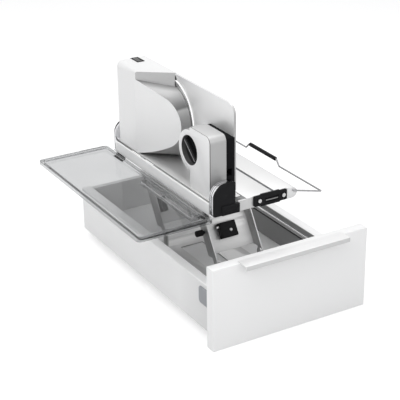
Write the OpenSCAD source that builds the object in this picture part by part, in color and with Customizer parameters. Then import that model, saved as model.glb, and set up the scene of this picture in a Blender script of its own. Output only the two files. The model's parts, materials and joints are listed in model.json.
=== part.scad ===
/* [Drawer] */
// Width of the front panel
front_w = 296; // [294:1:320]
// Height of the front panel
front_h = 144; // [130:1:170]
// Thickness of the front panel
front_t = 19; // [16:0.5:22]
// Length of the drawer from the panel's face to its back
drawer_len = 497; // [496:1:530]
// Height of the drawer sides
side_h = 82; // [80:1:95]
// Width of one hollow drawer side
side_w = 18.5; // [17.5:0.25:19.5]
// Thickness of the drawer floor board
floor_t = 16; // [12:0.5:18]
// How far the grip profile stands out of the front
grip_reach = 19; // [12:1:26]

/* [Swing fitting] */
// Length of a swing arm between its two pivots
arm_len = 148.5; // [140:0.5:150]
// Lean of the raised swing arms from the vertical, in degrees
arm_lean = 32; // [31:0.5:34]
// Distance between the front and the rear swing arms
arm_spacing = 150; // [140:1:156]
// Diameter of the swing pins
swing_pin_d = 6; // [5:0.25:7]

/* [Slicer base] */
// Length of the base along the drawer
base_len = 342; // [338:1:343]
// Width of the base across the drawer
base_w = 158; // [154:1:161]
// Height of the base
base_h = 20; // [19:0.5:24]
// Width of the groove in the deck
groove_w = 4; // [2.5:0.5:6]

/* [Slicing unit] */
// Diameter of the round blade
blade_d = 140; // [134:1:142]
// Thickness of the round blade
blade_t = 1.4; // [1:0.1:1.8]
// Height of the slicing unit above the deck
unit_h = 148; // [146:1:153]
// Thickness of the stop plate
stop_plate_t = 4; // [3:0.25:4.5]
// Thickness of the motor housing walls
shell_t = 2.5; // [1.8:0.1:3]
// Diameter of the thickness knob
knob_d = 48.6; // [42:0.2:49]

/* [Handle and tray] */
// Diameter of the bail wire
wire_d = 2.8; // [2.2:0.2:3.2]
// Diameter of the grip on the bail
grip_d = 7; // [6:0.5:8]
// Width of the slice tray
tray_w = 134; // [100:1:150]
// Length of the slice tray
tray_len = 375; // [330:1:390]

/* [Hidden] */
$fn = 64;

// One overrun serves every cut, so that no cut ends flush with a face
over = 1;
run_gap = 0.05;
slide_gap = 0.3;
part_gap = 0.4;

// Origin: midway between the two cabinet rails, on their underside
origin_y = 250;
origin_z = 14;

// Drawer, measured from the front panel's lower left front corner
side_gap = 14;
side_z = 13;
side_skin = 1.4;
side_top = side_z + side_h;
side_foot = 12;
side_foot_t = 2;
shelf_z = 50;
shelf_t = 2;
inner_x0 = side_gap + side_w;
inner_x1 = front_w - inner_x0;
foot_z = 15;
floor_z0 = foot_z + side_foot_t;
floor_z = floor_z0 + floor_t;
back_t = 10;
back_y = drawer_len - back_t;
back_drop = 2.2;
corner_r = 3;

// Grip profile on the front's top edge
grip_x0 = 49;
grip_x1 = front_w - grip_x0;
grip_t = 2;
grip_drop = 8;
grip_leg = 6;

// Telescopic runners inside the hollow sides
runner_x = side_gap + side_w / 2;
runner_w = 11.6;
runner_h = 16;
runner_t = 1.5;
runner_slot = 5;
runner_y0 = 30;
runner_y1 = 485;
runner_head = 8;
runner_head_h = 10.5;
runner_web = 3;
fix_hole_r = 2.5;
fix_span = 380;
fix_across = 250;
fix_x = (front_w - fix_across) / 2;

// Small drawer pieces
block_len = 30;
block_h = 34;
cap_y0 = 30;
cap_y1 = 65;
cap_z0 = 58;
cap_z1 = 88;
cap_t = 1.6;
cap_r = 6;
gallery_drop = 14.5;
gallery_w = 2.2;
gallery_h = 3.5;
gallery_r = 1.5;
gallery_z0 = side_top - gallery_drop;
strip_h = 8.1;
strip_z0 = gallery_z0 - strip_h;
strip_t = 1;
strip_groove_count = 4;
strip_groove_w = 0.5;
strip_groove_deep = 0.5;
strip_groove_pitch = 1;

// Swing fitting
low_y = 160;
low_z = 61.5;
up_y = low_y + arm_len * sin(arm_lean);
up_z = low_z + arm_len * cos(arm_lean);
ear_t = 3;
ear_r = 6;
sheet_t = 2;
swing_gap = 0.5;
pin_over = 1.2;
pivot_drop = 7.6;
floor_frame_t = 2;
frame_edge = 20;
flange_r = 6;
flange_back = 18;
flange_s0 = 6;
flange_s1 = 15.5;
web_end = 24;
web_face = sheet_t - flange_back;
open_pivot_gap = 0.3;
latch_x0 = 131.5;
latch_x1 = 162.5;
latch_s0 = 36.3;
latch_s1 = 63.8;
latch_h = 12;
latch_r = 2;
button_r = 2.6;
button_travel = 2.5;
button_len = 5;
button_s = 48.2;
button_x = 150.7;
bolt_w = 3;
bolt_out = 4;
bolt_t = 4;
bolt_s = 55.5;
buffer_r = 5.4;
buffer_len = 13;
buffer_stem_r = 2.5;
buffer_stem = 3;
buffer_s = 55.5;
buffer_back = 9;
rear_block_x0 = 97;
rear_block_x1 = 108;

// Slicer base
base_x0 = 42;
base_x1 = base_x0 + base_w;
base_y0 = 70;
base_y1 = base_y0 + base_len;
base_z0 = up_z + pivot_drop;
base_plate_t = 2;
plate_z = base_z0 + base_plate_t;
deck_z = base_z0 + base_h;
window_edge = 22;
front_ear_xa = 104;
front_ear_inset = 11;
front_ear_xb = base_x1 - front_ear_inset;
rear_ear_xa = 87;
rear_ear_inset = 28;
rear_ear_xb = base_x1 - rear_ear_inset;
front_flange_xa = front_ear_xa - swing_gap - sheet_t;
front_flange_xb = front_ear_xb + ear_t + swing_gap;
rear_flange_xa = rear_ear_xa - swing_gap - sheet_t;
rear_flange_xb = rear_ear_xb + ear_t + swing_gap;
strip_w = 3;
cheek_t = 4;
trim_t = 11;
far_trim_t = 3;
cheek_inset = 2;
cheek_x0 = base_x0 + cheek_inset;
cheek_x1 = 82.5;
cheek_rise = 35;
cheek_top = deck_z + cheek_rise;
cheek_r = 22;
cheek_small_r = 2;
trim_edge = 1.2;
rel_x0 = 57;
rel_x1 = 89.5;
rel_h = 16;
rel_t = 6;
rel_travel = 3;
rel_win_x0 = 60;
rel_win_x1 = 84;
rel_win_rise = 3.5;
rel_win_h = 8;
rel_win_z = plate_z + rel_win_rise;
rel_win_r = 1.5;
deck_x0 = 104.6;
deck_t = 2;
rail_t = 3;
groove_x0 = 154.5;
nose_x0 = groove_x0 + groove_w;
nose_rise = 0.6;
nose_r = (deck_z + nose_rise - plate_z) / 2;
nose_xc = base_x1 - nose_r;
nose_zc = plate_z + nose_r;
nose_t = 2;
nose_cap_t = 4;
nose_y1 = base_y1 - 2 * nose_cap_t;
nose_cap_x0 = 181;
guide_h = 9;
guide_drop = 3;
end_x0 = 118;
end_x1 = 180.5;
end_t = 4;
end_r = 2.5;
end_step = 1.5;
end_step_x0 = 130;
end_step_x1 = 168;
end_slot_x0 = 138;
end_slot_x1 = 165;
end_slot_h = 2.2;
end_slot_low = 3.5;
end_slot_high = 9.5;
end_slot_deep = 2;
screw_xa = 128;
screw_xb = 174;
screw_rise = 9;
screw_z = plate_z + screw_rise;
screw_r = 3.2;
screw_t = 1.4;
screw_cross = 3.6;
screw_cross_w = 0.8;
end_wall_t = 3;
hook_leg = 3;
hook_ledge = 5.7;
hook_foot = 2;
hook_in_a = 15;
hook_in_b = 39;
hook_len_a = 15;
hook_len_b = 30;
gland_x = 130;
gland_rise = 10;
gland_z = base_z0 + gland_rise;
gland_r = 6;
gland_bore = 3;
gland_t = 2;

// Folding axis of the slicing unit
fold_x = 78;
fold_rise = 27;
fold_z = deck_z + fold_rise;
fold_pin_r = 2.5;
fold_pin_in = 3.6;
fold_pin_skin = 1.4;

// Slicing unit
unit_gap = 1;
unit_z0 = deck_z + unit_gap;
unit_top = deck_z + unit_h;
unit_x0 = 48;
unit_x1 = 104;
unit_slack = 0.4;
unit_y1 = base_y1 - cheek_t - far_trim_t - unit_slack;
foot_t = 3;
foot_y0 = 82;
foot_x1 = 101.5;
blade_r = blade_d / 2;
blade_y = 302;
blade_sink = 5.5;
blade_z = deck_z - blade_sink + blade_r;
blade_proud = 0.2;
blade_x1 = unit_x1 - blade_proud;
blade_x0 = blade_x1 - blade_t;
blade_bevel = 5;
blade_edge_share = 0.25;
lip_y0 = 287;
lip_y1 = 330;
slant_x = 82;
slant_y = 231;
scoop_inset = 3;
scoop_r = blade_r - scoop_inset;
scoop_angle = 18;
scoop_tilt = 4;
scoop_nose = 66;
scoop_apex = scoop_r * sqrt(cos(2 * scoop_angle)) / sin(scoop_angle);
scoop_len = 260;
ramp_y0 = 288;
ramp_y1 = 338;
ramp_turn = 10;
ramp_rise = 64;
ramp_far_rise = 83;
low_ramp_turn = 17;
low_ramp_rise = 62;
low_ramp_far_rise = 85;
housing_r = 9;
top_r = 8;
pocket_gap = 1.6;
pocket_back = 0.6;
wall_x0 = 98;
hub_hole_r = 16;
spindle_r = 4;
spindle_x0 = 70;
spindle_x1 = 101;
bracket_x0 = 78;
bracket_x1 = 84;
bracket_near = 17;
bracket_far = 34;
bracket_step = 14;
bracket_y0 = blade_y - bracket_near;
bracket_y1 = blade_y + bracket_far;
bracket_foot_y = blade_y + bracket_step;
bracket_up = 20.5;
bracket_down = 21.5;
gear_m = 2;
gear_teeth = 50;
pinion_teeth = 12;
gear_x0 = 88;
gear_x1 = 95;
hub_r = 14;
hub_x0 = 86;
centre_slack = 0.25;
tip_share = 0.16;
root_share = 0.42;
tip_height_share = 0.8;
root_depth_share = 1.3;
motor_y = blade_y + gear_m * (gear_teeth + pinion_teeth) / 2 + centre_slack;
motor_r = 26;
motor_x0 = 53;
motor_x1 = 84;
motor_cap_r = 10;
motor_cap_t = 2;
mount_t = 2;
mount_half = 27;
mount_hole_r = 6;
shaft_r = 2.5;
shaft_x0 = 66;
shaft_x1 = 97;
blade_screw_r = 3;
blade_screw_ring = 9.5;
blade_screw_x0 = 98;
blade_screw_count = 3;

// Switch
switch_x0 = 75.5;
switch_w = 14;
switch_y0 = 373;
switch_len = 27;
switch_deep = 5;
switch_rim = 0.6;
switch_wall = 1.8;
rocker_gap = 0.9;
rocker_dip = 1.2;
rocker_up = 0.9;
rocker_low = 2;
rocker_pin_r = 1;
rocker_pin_in = 1;
rocker_pin_up = 1.6;
rocker_y = switch_y0 + switch_len / 2;
rocker_z = unit_top - switch_deep + rocker_pin_up;

// Thickness setting
setting_travel = 14;
carrier_t = 4;
stop_x0 = unit_x1 - stop_plate_t;
carrier_x0 = stop_x0 - carrier_t;
block_x0 = 50;
block_x1 = carrier_x0 - setting_travel - part_gap;
block_y0 = 91;
block_y1 = 152;
block_rise = 105;
block_top = deck_z + block_rise;
block_r = 12;
block_wall = 3;
ring_y = 154;
ring_rise = 65;
ring_z = deck_z + ring_rise;
ring_r = 34;
sleeve_wall = 2.6;
sleeve_len = 13;
sleeve_web = 2;
knob_r = knob_d / 2;
knob_gap = 0.5;
knob_x0 = 58;
knob_t = 4;
bar_w = 7;
bar_x0 = 51.5;
bar_inset = 3;
bar_turn = -50;
spin_r = 4;
cam_r = 13;
cam_x0 = 68;
cam_t = 3;
rod_r = 3;
rod_len = 27;
rod_ya = 122;
rod_rise_a = 20;
rod_za = deck_z + rod_rise_a;
rod_yb = 109;
rod_rise_b = 69;
rod_zb = deck_z + rod_rise_b;
arm_x0 = 70;
stop_y0 = 98.7;
stop_rebate = 1.5;
carrier_y0 = stop_y0;
carrier_y1 = 182;
carrier_rise = 7;
carrier_z0 = deck_z + carrier_rise;
carrier_h = 88;
carrier_r = 14;
low_arm_y1 = 146;
low_arm_h = 24;
high_arm_y1 = 122;
high_arm_half = 26;
post_off = 18.5;
post_x0 = 82;
post_d = 8;
stop_r = 18;
stop_low_r = 3;
stop_gap = 1.2;
stop_bevel = 12.5;
stop_bevel_share = 0.85;
stop_top_y = 285;
stop_z0 = unit_z0 + unit_gap;

// Bail handle
bail_inset = 8.5;
bail_x = base_x1 - bail_inset;
bail_drop = 4.5;
bail_z = deck_z - bail_drop;
bail_reach = 56.5;
bail_tip_x = bail_x + bail_reach;
bail_sag = 14.5;
bail_tip_z = bail_z - bail_sag;
bail_out = 2;
bail_near = base_y0 - nose_cap_t - bail_out;
bail_far = nose_y1 + nose_cap_t + bail_out;
bail_in = 6;
jog_near = 189;
jog_top_near = 197;
jog_top_far = 284;
jog_far = 294;
jog_up = 10;
grip_inset = 3;
elbow_share = 1.06;

// Slice tray
tray_x1 = base_x0 - slide_gap;
tray_x0 = tray_x1 - tray_w;
tray_y0 = 65.5;
tray_y1 = tray_y0 + tray_len;
tray_h = 6.5;
tray_z1 = base_z0 - slide_gap;
tray_z0 = tray_z1 - tray_h;
hook_z0 = tray_z0 - slide_gap - hook_foot;
tray_floor = 2;
tray_wall = 2;
tray_rim = 8;
tray_rim_t = 1.6;
tray_r = 7;
rib_x0 = 20;
rib_w = 15.7;
rib_wall = 2;
rib_h = 6;
rib_y0 = 98;
rib_y1 = 273;
rib_post_r = 3;
rib_post_dx = 9.5;
rib_post_dy = 20;
rib_post_h = 11;

// Moves the drawer's own corner so that the origin lies under the rails
module in_frame() {
    translate([-front_w / 2, -origin_y, -origin_z]) children();
}

// Box between two opposite corners
module box(a, b) {
    translate(a) cube(b - a);
}

// Round bars along the three axes
module bar_x(r, x0, x1, y, z) {
    translate([x0, y, z]) rotate([0, 90, 0]) cylinder(r = r, h = x1 - x0);
}

module bar_y(r, y0, y1, x, z) {
    translate([x, y1, z]) rotate([90, 0, 0]) cylinder(r = r, h = y1 - y0);
}

module bar_z(r, z0, z1, x, y) {
    translate([x, y, z0]) cylinder(r = r, h = z1 - z0);
}

// Flat outlines raised across the drawer, along it and upwards
module across(x0, x1) {
    translate([x0, 0, 0]) rotate([90, 0, 90]) linear_extrude(x1 - x0) children();
}

module along(y0, y1) {
    translate([0, y1, 0]) rotate([90, 0, 0]) linear_extrude(y1 - y0) children();
}

module upwards(z0, z1) {
    translate([0, 0, z0]) linear_extrude(z1 - z0) children();
}

module rect(x0, y0, x1, y1) {
    translate([x0, y0]) square([x1 - x0, y1 - y0]);
}

// The waste outside a rounded corner; the signs point into the outline
module soft_corner(x, y, sx, sy, r) {
    if (r > 0) difference() {
        rect(min(x - sx * over, x + sx * r), min(y - sy * over, y + sy * r),
             max(x - sx * over, x + sx * r), max(y - sy * over, y + sy * r));
        translate([x + sx * r, y + sy * r]) circle(r);
    }
}

// Rectangle with its own radius at the lower left, lower right, upper right and upper left
module soft_rect(x0, y0, x1, y1, ra, rb, rc, rd) {
    difference() {
        rect(x0, y0, x1, y1);
        soft_corner(x0, y0, 1, 1, ra);
        soft_corner(x1, y0, -1, 1, rb);
        soft_corner(x1, y1, -1, -1, rc);
        soft_corner(x0, y1, 1, -1, rd);
    }
}

module round_rect(x0, y0, x1, y1, r) {
    soft_rect(x0, y0, x1, y1, r, r, r, r);
}

// The same shape on the drawer's right-hand side
module other_side() {
    translate([front_w, 0, 0]) mirror([1, 0, 0]) children();
}

// Slotted channel of a runner, open upwards or downwards
module runner_channel(z0, opens_up) {
    slot_z = opens_up ? z0 + runner_h - runner_t : z0;
    difference() {
        rect(runner_x - runner_w / 2, z0, runner_x + runner_w / 2, z0 + runner_h);
        rect(runner_x - runner_w / 2 + runner_t, z0 + runner_t,
             runner_x + runner_w / 2 - runner_t, z0 + runner_h - runner_t);
        rect(runner_x - runner_slot / 2, slot_z - over,
             runner_x + runner_slot / 2, slot_z + runner_t + over);
    }
}

module cabinet_rail() {
    difference() {
        along(runner_y0, runner_y1) runner_channel(origin_z, true);
        for (y = [origin_y - fix_span / 2, origin_y + fix_span / 2])
            bar_z(fix_hole_r, origin_z - over, origin_z + runner_t + over, fix_x, y);
    }
}

module middle_rail() {
    z0 = origin_z + runner_t + part_gap;
    z1 = shelf_z - runner_t - part_gap;
    along(runner_y0, runner_y1) {
        rect(runner_x - runner_head / 2, z0, runner_x + runner_head / 2, z0 + runner_head_h);
        rect(runner_x - runner_head / 2, z1 - runner_head_h, runner_x + runner_head / 2, z1);
        rect(runner_x - runner_web / 2, z0, runner_x + runner_web / 2, z1);
    }
}

module left_cabinet_rail() {
    color("silver") in_frame() cabinet_rail();
}

module right_cabinet_rail() {
    color("silver") in_frame() other_side() cabinet_rail();
}

module left_middle_rail() {
    color("gray") in_frame() middle_rail();
}

module right_middle_rail() {
    color("gray") in_frame() other_side() middle_rail();
}

module drawer_runner() {
    along(runner_y0, runner_y1) runner_channel(shelf_z - runner_h, false);
}

module drawer_runners() {
    color("silver") in_frame() {
        drawer_runner();
        other_side() drawer_runner();
    }
}

// Hollow drawer side with a closed upper chamber and an open lower one
module side_profile() {
    x1 = side_gap + side_w;
    along(front_t, drawer_len) {
        difference() {
            soft_rect(side_gap, side_z, x1, side_top, 0, 0, corner_r, corner_r);
            rect(side_gap + side_skin, side_z - over, x1 - side_skin, shelf_z);
            rect(side_gap + side_skin, shelf_z + shelf_t, x1 - side_skin, side_top - corner_r);
        }
        rect(x1 - side_skin, foot_z, x1 + side_foot, floor_z0);
    }
}

module left_side_profile() {
    color("lightgray") in_frame() side_profile();
}

module right_side_profile() {
    color("lightgray") in_frame() other_side() side_profile();
}

module drawer_floor() {
    color("gainsboro") in_frame()
        box([inner_x0, front_t, floor_z0], [inner_x1, drawer_len, floor_z]);
}

module drawer_back() {
    color("gainsboro") in_frame()
        box([inner_x0, back_y, floor_z], [inner_x1, drawer_len, side_top - back_drop]);
}

module drawer_front() {
    color("white") in_frame() box([0, 0, 0], [front_w, front_t, front_h]);
}

// Grip lying on the front's top edge and turned down in front of it
module grip_profile() {
    color("white") in_frame() across(grip_x0, grip_x1) {
        rect(-grip_reach, front_h, grip_leg, front_h + grip_t);
        rect(-grip_reach, front_h + grip_t - grip_drop, grip_t - grip_reach, front_h + grip_t);
    }
}

// Blocks inside the upper chambers that the front is screwed to
module fixing_block() {
    z0 = shelf_z + shelf_t;
    box([side_gap + side_skin, front_t, z0],
        [side_gap + side_w - side_skin, front_t + block_len, z0 + block_h]);
}

module front_fixing_blocks() {
    color("dimgray") in_frame() {
        fixing_block();
        other_side() fixing_block();
    }
}

module cover_cap() {
    across(side_gap - cap_t, side_gap) round_rect(cap_y0, cap_z0, cap_y1, cap_z1, cap_r);
}

module side_cover_caps() {
    color("darkgray") in_frame() {
        cover_cap();
        other_side() cover_cap();
    }
}

// Bar on three short posts along the inside of a drawer side
// Bright bead along the inner wall
module gallery_rail() {
    along(front_t, back_y)
        soft_rect(inner_x0, gallery_z0, inner_x0 + gallery_w, gallery_z0 + gallery_h,
                  0, gallery_r, gallery_r, 0);
}

module gallery_rails() {
    color("silver") in_frame() {
        gallery_rail();
        other_side() gallery_rail();
    }
}

// Strip under the bead, grooved along its upper half
module insert_strip() {
    x1 = inner_x0 + strip_t;
    difference() {
        box([inner_x0, front_t, strip_z0], [x1, back_y, gallery_z0]);
        for (i = [1 : strip_groove_count])
            box([x1 - strip_groove_deep, front_t - over, gallery_z0 - i * strip_groove_pitch],
                [x1 + over, back_y + over, gallery_z0 - i * strip_groove_pitch + strip_groove_w]);
    }
}

module insert_strips() {
    color("dimgray") in_frame() {
        insert_strip();
        other_side() insert_strip();
    }
}

// Upright ear with a pin hole, standing on the floor frame
module ear(x0, y) {
    across(x0, x0 + ear_t) difference() {
        union() {
            translate([y, low_z]) circle(ear_r);
            rect(y - ear_r, floor_z + floor_frame_t, y + ear_r, low_z);
        }
        translate([y, low_z]) circle(swing_pin_d / 2);
    }
}

module floor_frame() {
    z1 = floor_z + floor_frame_t;
    rear_y = low_y + arm_spacing;
    color("lightgray") in_frame() {
        difference() {
            box([rear_ear_xa - frame_edge / 2, low_y - frame_edge, floor_z],
                [front_ear_xb + frame_edge / 2, rear_y + frame_edge, z1]);
            box([rear_ear_xa + frame_edge, low_y + frame_edge, floor_z - over],
                [rear_ear_xb - frame_edge, rear_y - frame_edge, z1 + over]);
        }
        ear(front_ear_xa, low_y);
        ear(front_ear_xb, low_y);
        ear(rear_ear_xa, rear_y);
        ear(rear_ear_xb, rear_y);
    }
}

// Four short pins, two for the front and two for the rear swing frame
module swing_pins(y, z) {
    r = swing_pin_d / 2;
    reach = swing_gap + sheet_t + pin_over;
    bar_x(r, front_ear_xa - reach, front_ear_xa + ear_t, y, z);
    bar_x(r, front_ear_xb, front_ear_xb + ear_t + reach, y, z);
    bar_x(r, rear_ear_xa - reach, rear_ear_xa + ear_t, y + arm_spacing, z);
    bar_x(r, rear_ear_xb, rear_ear_xb + ear_t + reach, y + arm_spacing, z);
}

module lower_swing_pins() {
    color("silver") in_frame() swing_pins(low_y, low_z);
}

module upper_swing_pins() {
    color("silver") in_frame() swing_pins(up_y, up_z);
}

// An outline drawn along an arm, measured from its lower pivot
module on_arm(y) {
    translate([y, low_z]) rotate(90 - arm_lean) children();
}

module flange_outline(upper_hole_r) {
    difference() {
        union() {
            circle(flange_r);
            translate([arm_len, 0]) circle(flange_r);
            rect(0, -flange_r, arm_len, flange_r);
            polygon([[flange_s0, 0], [flange_s1, -flange_back],
                     [arm_len - flange_s1, -flange_back], [arm_len - flange_s0, 0]]);
        }
        circle(swing_pin_d / 2 + run_gap);
        translate([arm_len, 0]) circle(upper_hole_r);
    }
}

// Folded sheet: two flanges joined by a web behind the pivots
module swing_sheet(y, xa, xb, upper_hole_r) {
    across(xa, xa + sheet_t) on_arm(y) flange_outline(upper_hole_r);
    across(xb, xb + sheet_t) on_arm(y) flange_outline(upper_hole_r);
    across(xa, xb + sheet_t) on_arm(y)
        rect(flange_s1, -flange_back, arm_len - web_end, web_face);
}

module front_swing_frame() {
    color("gainsboro") in_frame()
        swing_sheet(low_y, front_flange_xa, front_flange_xb, swing_pin_d / 2 + run_gap);
}

// The open pivot of the linkage has the wider hole
module rear_swing_frame() {
    color("gainsboro") in_frame()
        swing_sheet(low_y + arm_spacing, rear_flange_xa, rear_flange_xb,
                    swing_pin_d / 2 + open_pivot_gap);
}

// Points a round piece straight out of the front swing frame's web
module from_web(x, s, t) {
    translate([x, low_y, low_z]) rotate([90 - arm_lean, 0, 0])
        translate([0, s, web_face + t]) children();
}

module latch_housing() {
    g = slide_gap;
    color("black") in_frame() difference() {
        across(latch_x0, latch_x1) on_arm(low_y)
            round_rect(latch_s0, web_face, latch_s1, web_face + latch_h, latch_r);
        from_web(button_x, button_s, latch_h - button_len)
            cylinder(r = button_r + g, h = latch_h);
        across(latch_x0 - over, latch_x0 + bolt_out + button_travel + g) on_arm(low_y)
            rect(bolt_s - g, web_face + bolt_t - g, bolt_s + bolt_w + g, web_face + 2 * bolt_t + g);
    }
}

module latch_button() {
    color("white") in_frame() from_web(button_x, button_s, latch_h - button_travel + slide_gap)
        cylinder(r = button_r, h = button_travel);
}

module latch_bolt() {
    color("silver") in_frame() across(latch_x0 - bolt_out, latch_x0 + bolt_out) on_arm(low_y)
        rect(bolt_s, web_face + bolt_t, bolt_s + bolt_w, web_face + 2 * bolt_t);
}

module on_flange(x0, x1) {
    across(x0, x1) on_arm(low_y) translate([buffer_s, -buffer_back]) children();
}

// Rubber stop on the left flange
module swing_buffer() {
    x1 = front_flange_xa;
    color("black") in_frame() {
        on_flange(x1 - buffer_stem, x1) circle(buffer_stem_r);
        on_flange(x1 - buffer_stem - buffer_len, x1 - buffer_stem) circle(buffer_r);
    }
}

module rear_swing_block() {
    color("black") in_frame() across(rear_block_x0, rear_block_x1) on_arm(low_y + arm_spacing)
        round_rect(latch_s0, web_face, latch_s1, web_face + latch_h, latch_r);
}

module lug(x0, y) {
    across(x0, x0 + ear_t) difference() {
        union() {
            translate([y, up_z]) circle(ear_r);
            rect(y - ear_r, up_z, y + ear_r, plate_z);
        }
        translate([y, up_z]) circle(swing_pin_d / 2);
    }
}

// Bottom plate with two windows, left strip, inner rail, end walls and lugs
module base_frame() {
    rear_y = up_y + arm_spacing;
    rail_top = deck_z - deck_t;
    color("whitesmoke") in_frame() {
        difference() {
            box([base_x0, base_y0, base_z0], [base_x1 - nose_r / 2, base_y1, plate_z]);
            box([base_x0 + window_edge / 2, base_y0 + window_edge, base_z0 - over],
                [rear_flange_xa - sheet_t, base_y1 - window_edge, plate_z + over]);
            box([deck_x0 + window_edge, base_y0 + window_edge, base_z0 - over],
                [rear_ear_xb - window_edge, base_y1 - window_edge, plate_z + over]);
        }
        along(base_y0 + trim_t, base_y1 - cheek_t - far_trim_t)
            soft_rect(base_x0, base_z0, base_x0 + strip_w, deck_z, 0, 0, 0, strip_w / 2);
        box([deck_x0, base_y0, plate_z], [deck_x0 + rail_t, base_y1, rail_top]);
        box([rel_x1, base_y0, plate_z], [groove_x0, base_y0 + end_wall_t, rail_top]);
        box([cheek_x1, base_y1 - end_wall_t, plate_z], [groove_x0, base_y1, rail_top]);
        lug(front_ear_xa, up_y);
        lug(front_ear_xb, up_y);
        lug(rear_ear_xa, rear_y);
        lug(rear_ear_xb, rear_y);
    }
}

module deck_plate() {
    color("white") in_frame()
        box([deck_x0, base_y0, deck_z - deck_t], [groove_x0, base_y1, deck_z]);
}

// Flat outline with one round end, drawn in by an inset
module nose_outline(x0, inset) {
    r = nose_r - inset;
    translate([nose_xc, nose_zc]) circle(r);
    rect(x0 + inset, nose_zc - r, nose_xc, nose_zc + r);
}

module deck_nose_profile() {
    color("white") in_frame() along(base_y0, nose_y1) difference() {
        nose_outline(nose_x0, 0);
        nose_outline(nose_x0, nose_t);
    }
}

// Strip that lies at the bottom of the deck's groove
module deck_guide() {
    z1 = deck_z - guide_drop;
    color("gray") in_frame()
        box([groove_x0, base_y0 + end_wall_t, z1 - guide_h], [nose_x0, nose_y1, z1]);
}

module nose_cap(y0) {
    difference() {
        along(y0, y0 + nose_cap_t) nose_outline(nose_cap_x0, 0);
        bar_y(wire_d / 2 + run_gap, y0 - over, y0 + nose_cap_t + over, bail_x, bail_z);
    }
}

module nose_end_caps() {
    color("white") in_frame() {
        nose_cap(base_y0 - nose_cap_t);
        nose_cap(nose_y1);
    }
}

// End cap with a raised middle and two long slots
module near_end_cap() {
    y0 = base_y0 - end_t;
    color("black") in_frame() difference() {
        along(y0, base_y0) {
            round_rect(end_x0, plate_z, end_x1, deck_z, end_r);
            round_rect(end_step_x0, plate_z - end_step, end_step_x1, deck_z + end_step, end_r);
        }
        for (z = [plate_z + end_slot_low, plate_z + end_slot_high])
            box([end_slot_x0, y0 - over, z], [end_slot_x1, y0 + end_slot_deep, z + end_slot_h]);
    }
}

module end_screw(x) {
    y1 = base_y0 - end_t;
    y0 = y1 - screw_t;
    difference() {
        bar_y(screw_r, y0, y1, x, screw_z);
        box([x - screw_cross / 2, y0 - over, screw_z - screw_cross_w / 2],
            [x + screw_cross / 2, y0 + screw_t / 2, screw_z + screw_cross_w / 2]);
        box([x - screw_cross_w / 2, y0 - over, screw_z - screw_cross / 2],
            [x + screw_cross_w / 2, y0 + screw_t / 2, screw_z + screw_cross / 2]);
    }
}

module end_cap_screws() {
    color("silver") in_frame() {
        end_screw(screw_xa);
        end_screw(screw_xb);
    }
}

module cheek_outline(edge) {
    soft_rect(cheek_x0 - edge, plate_z, cheek_x1, cheek_top - edge, 0, 0, cheek_small_r, cheek_r);
}

module release_window(g) {
    round_rect(rel_win_x0 + g, rel_win_z + g, rel_win_x1 - g, rel_win_z + rel_win_h - g, rel_win_r);
}

// Near cheek, widened at its foot to hold the release button
module near_hinge_cheek() {
    y0 = base_y0 - cheek_t;
    color("black") in_frame() difference() {
        union() {
            along(y0, base_y0) cheek_outline(0);
            along(base_y0 - rel_t, base_y0) rect(rel_x0, plate_z, rel_x1, plate_z + rel_h);
        }
        bar_y(fold_pin_r, y0 + fold_pin_skin, base_y0 + over, fold_x, fold_z);
        along(base_y0 - rel_t - over, base_y0 + over) release_window(0);
    }
}

module far_hinge_cheek() {
    color("black") in_frame() difference() {
        along(base_y1 - cheek_t, base_y1) cheek_outline(0);
        bar_y(fold_pin_r, base_y1 - cheek_t - over, base_y1 - fold_pin_skin, fold_x, fold_z);
    }
}

module trim(y0, y1) {
    difference() {
        along(y0, y1) cheek_outline(trim_edge);
        bar_y(fold_pin_r, y0 - over, y1 + over, fold_x, fold_z);
    }
}

module near_cheek_trim() {
    color("silver") in_frame() difference() {
        trim(base_y0, base_y0 + trim_t);
        along(base_y0 - over, base_y0 + rel_travel + over) release_window(0);
    }
}

module far_cheek_trim() {
    color("silver") in_frame() trim(base_y1 - cheek_t - far_trim_t, base_y1 - cheek_t);
}

module fold_pins() {
    color("silver") in_frame() {
        bar_y(fold_pin_r, base_y0 - cheek_t + fold_pin_skin, block_y0 + block_wall, fold_x, fold_z);
        bar_y(fold_pin_r, unit_y1 - fold_pin_in, base_y1 - fold_pin_skin, fold_x, fold_z);
    }
}

// Clip under the base that carries the tray's rim
module tray_hook(y0, y1) {
    box([base_x0, y0, hook_z0], [base_x0 + hook_leg, y1, base_z0]);
    box([base_x0 - hook_ledge, y0, hook_z0], [base_x0, y1, hook_z0 + hook_foot]);
}

module tray_hooks() {
    ya = base_y0 + hook_in_a;
    yb = base_y1 - hook_in_b;
    color("black") in_frame() {
        tray_hook(ya, ya + hook_len_a);
        tray_hook(yb, yb + hook_len_b);
    }
}

module mains_gland() {
    color("black") in_frame() difference() {
        bar_y(gland_r, base_y1, base_y1 + gland_t, gland_x, gland_z);
        bar_y(gland_bore, base_y1 - over, base_y1 + gland_t + over, gland_x, gland_z);
    }
}

module release_button() {
    color("dimgray") in_frame() along(base_y0 - rel_t, base_y0) release_window(slide_gap);
}

// Straight piece of wire between two points, with a slightly thicker elbow at its far end
module wire_piece(a, b) {
    d = b - a;
    translate(a) rotate([0, acos(d[2] / norm(d)), atan2(d[1], d[0])])
        cylinder(d = wire_d, h = norm(d));
    translate(b) sphere(d = wire_d * elbow_share);
}

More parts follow.
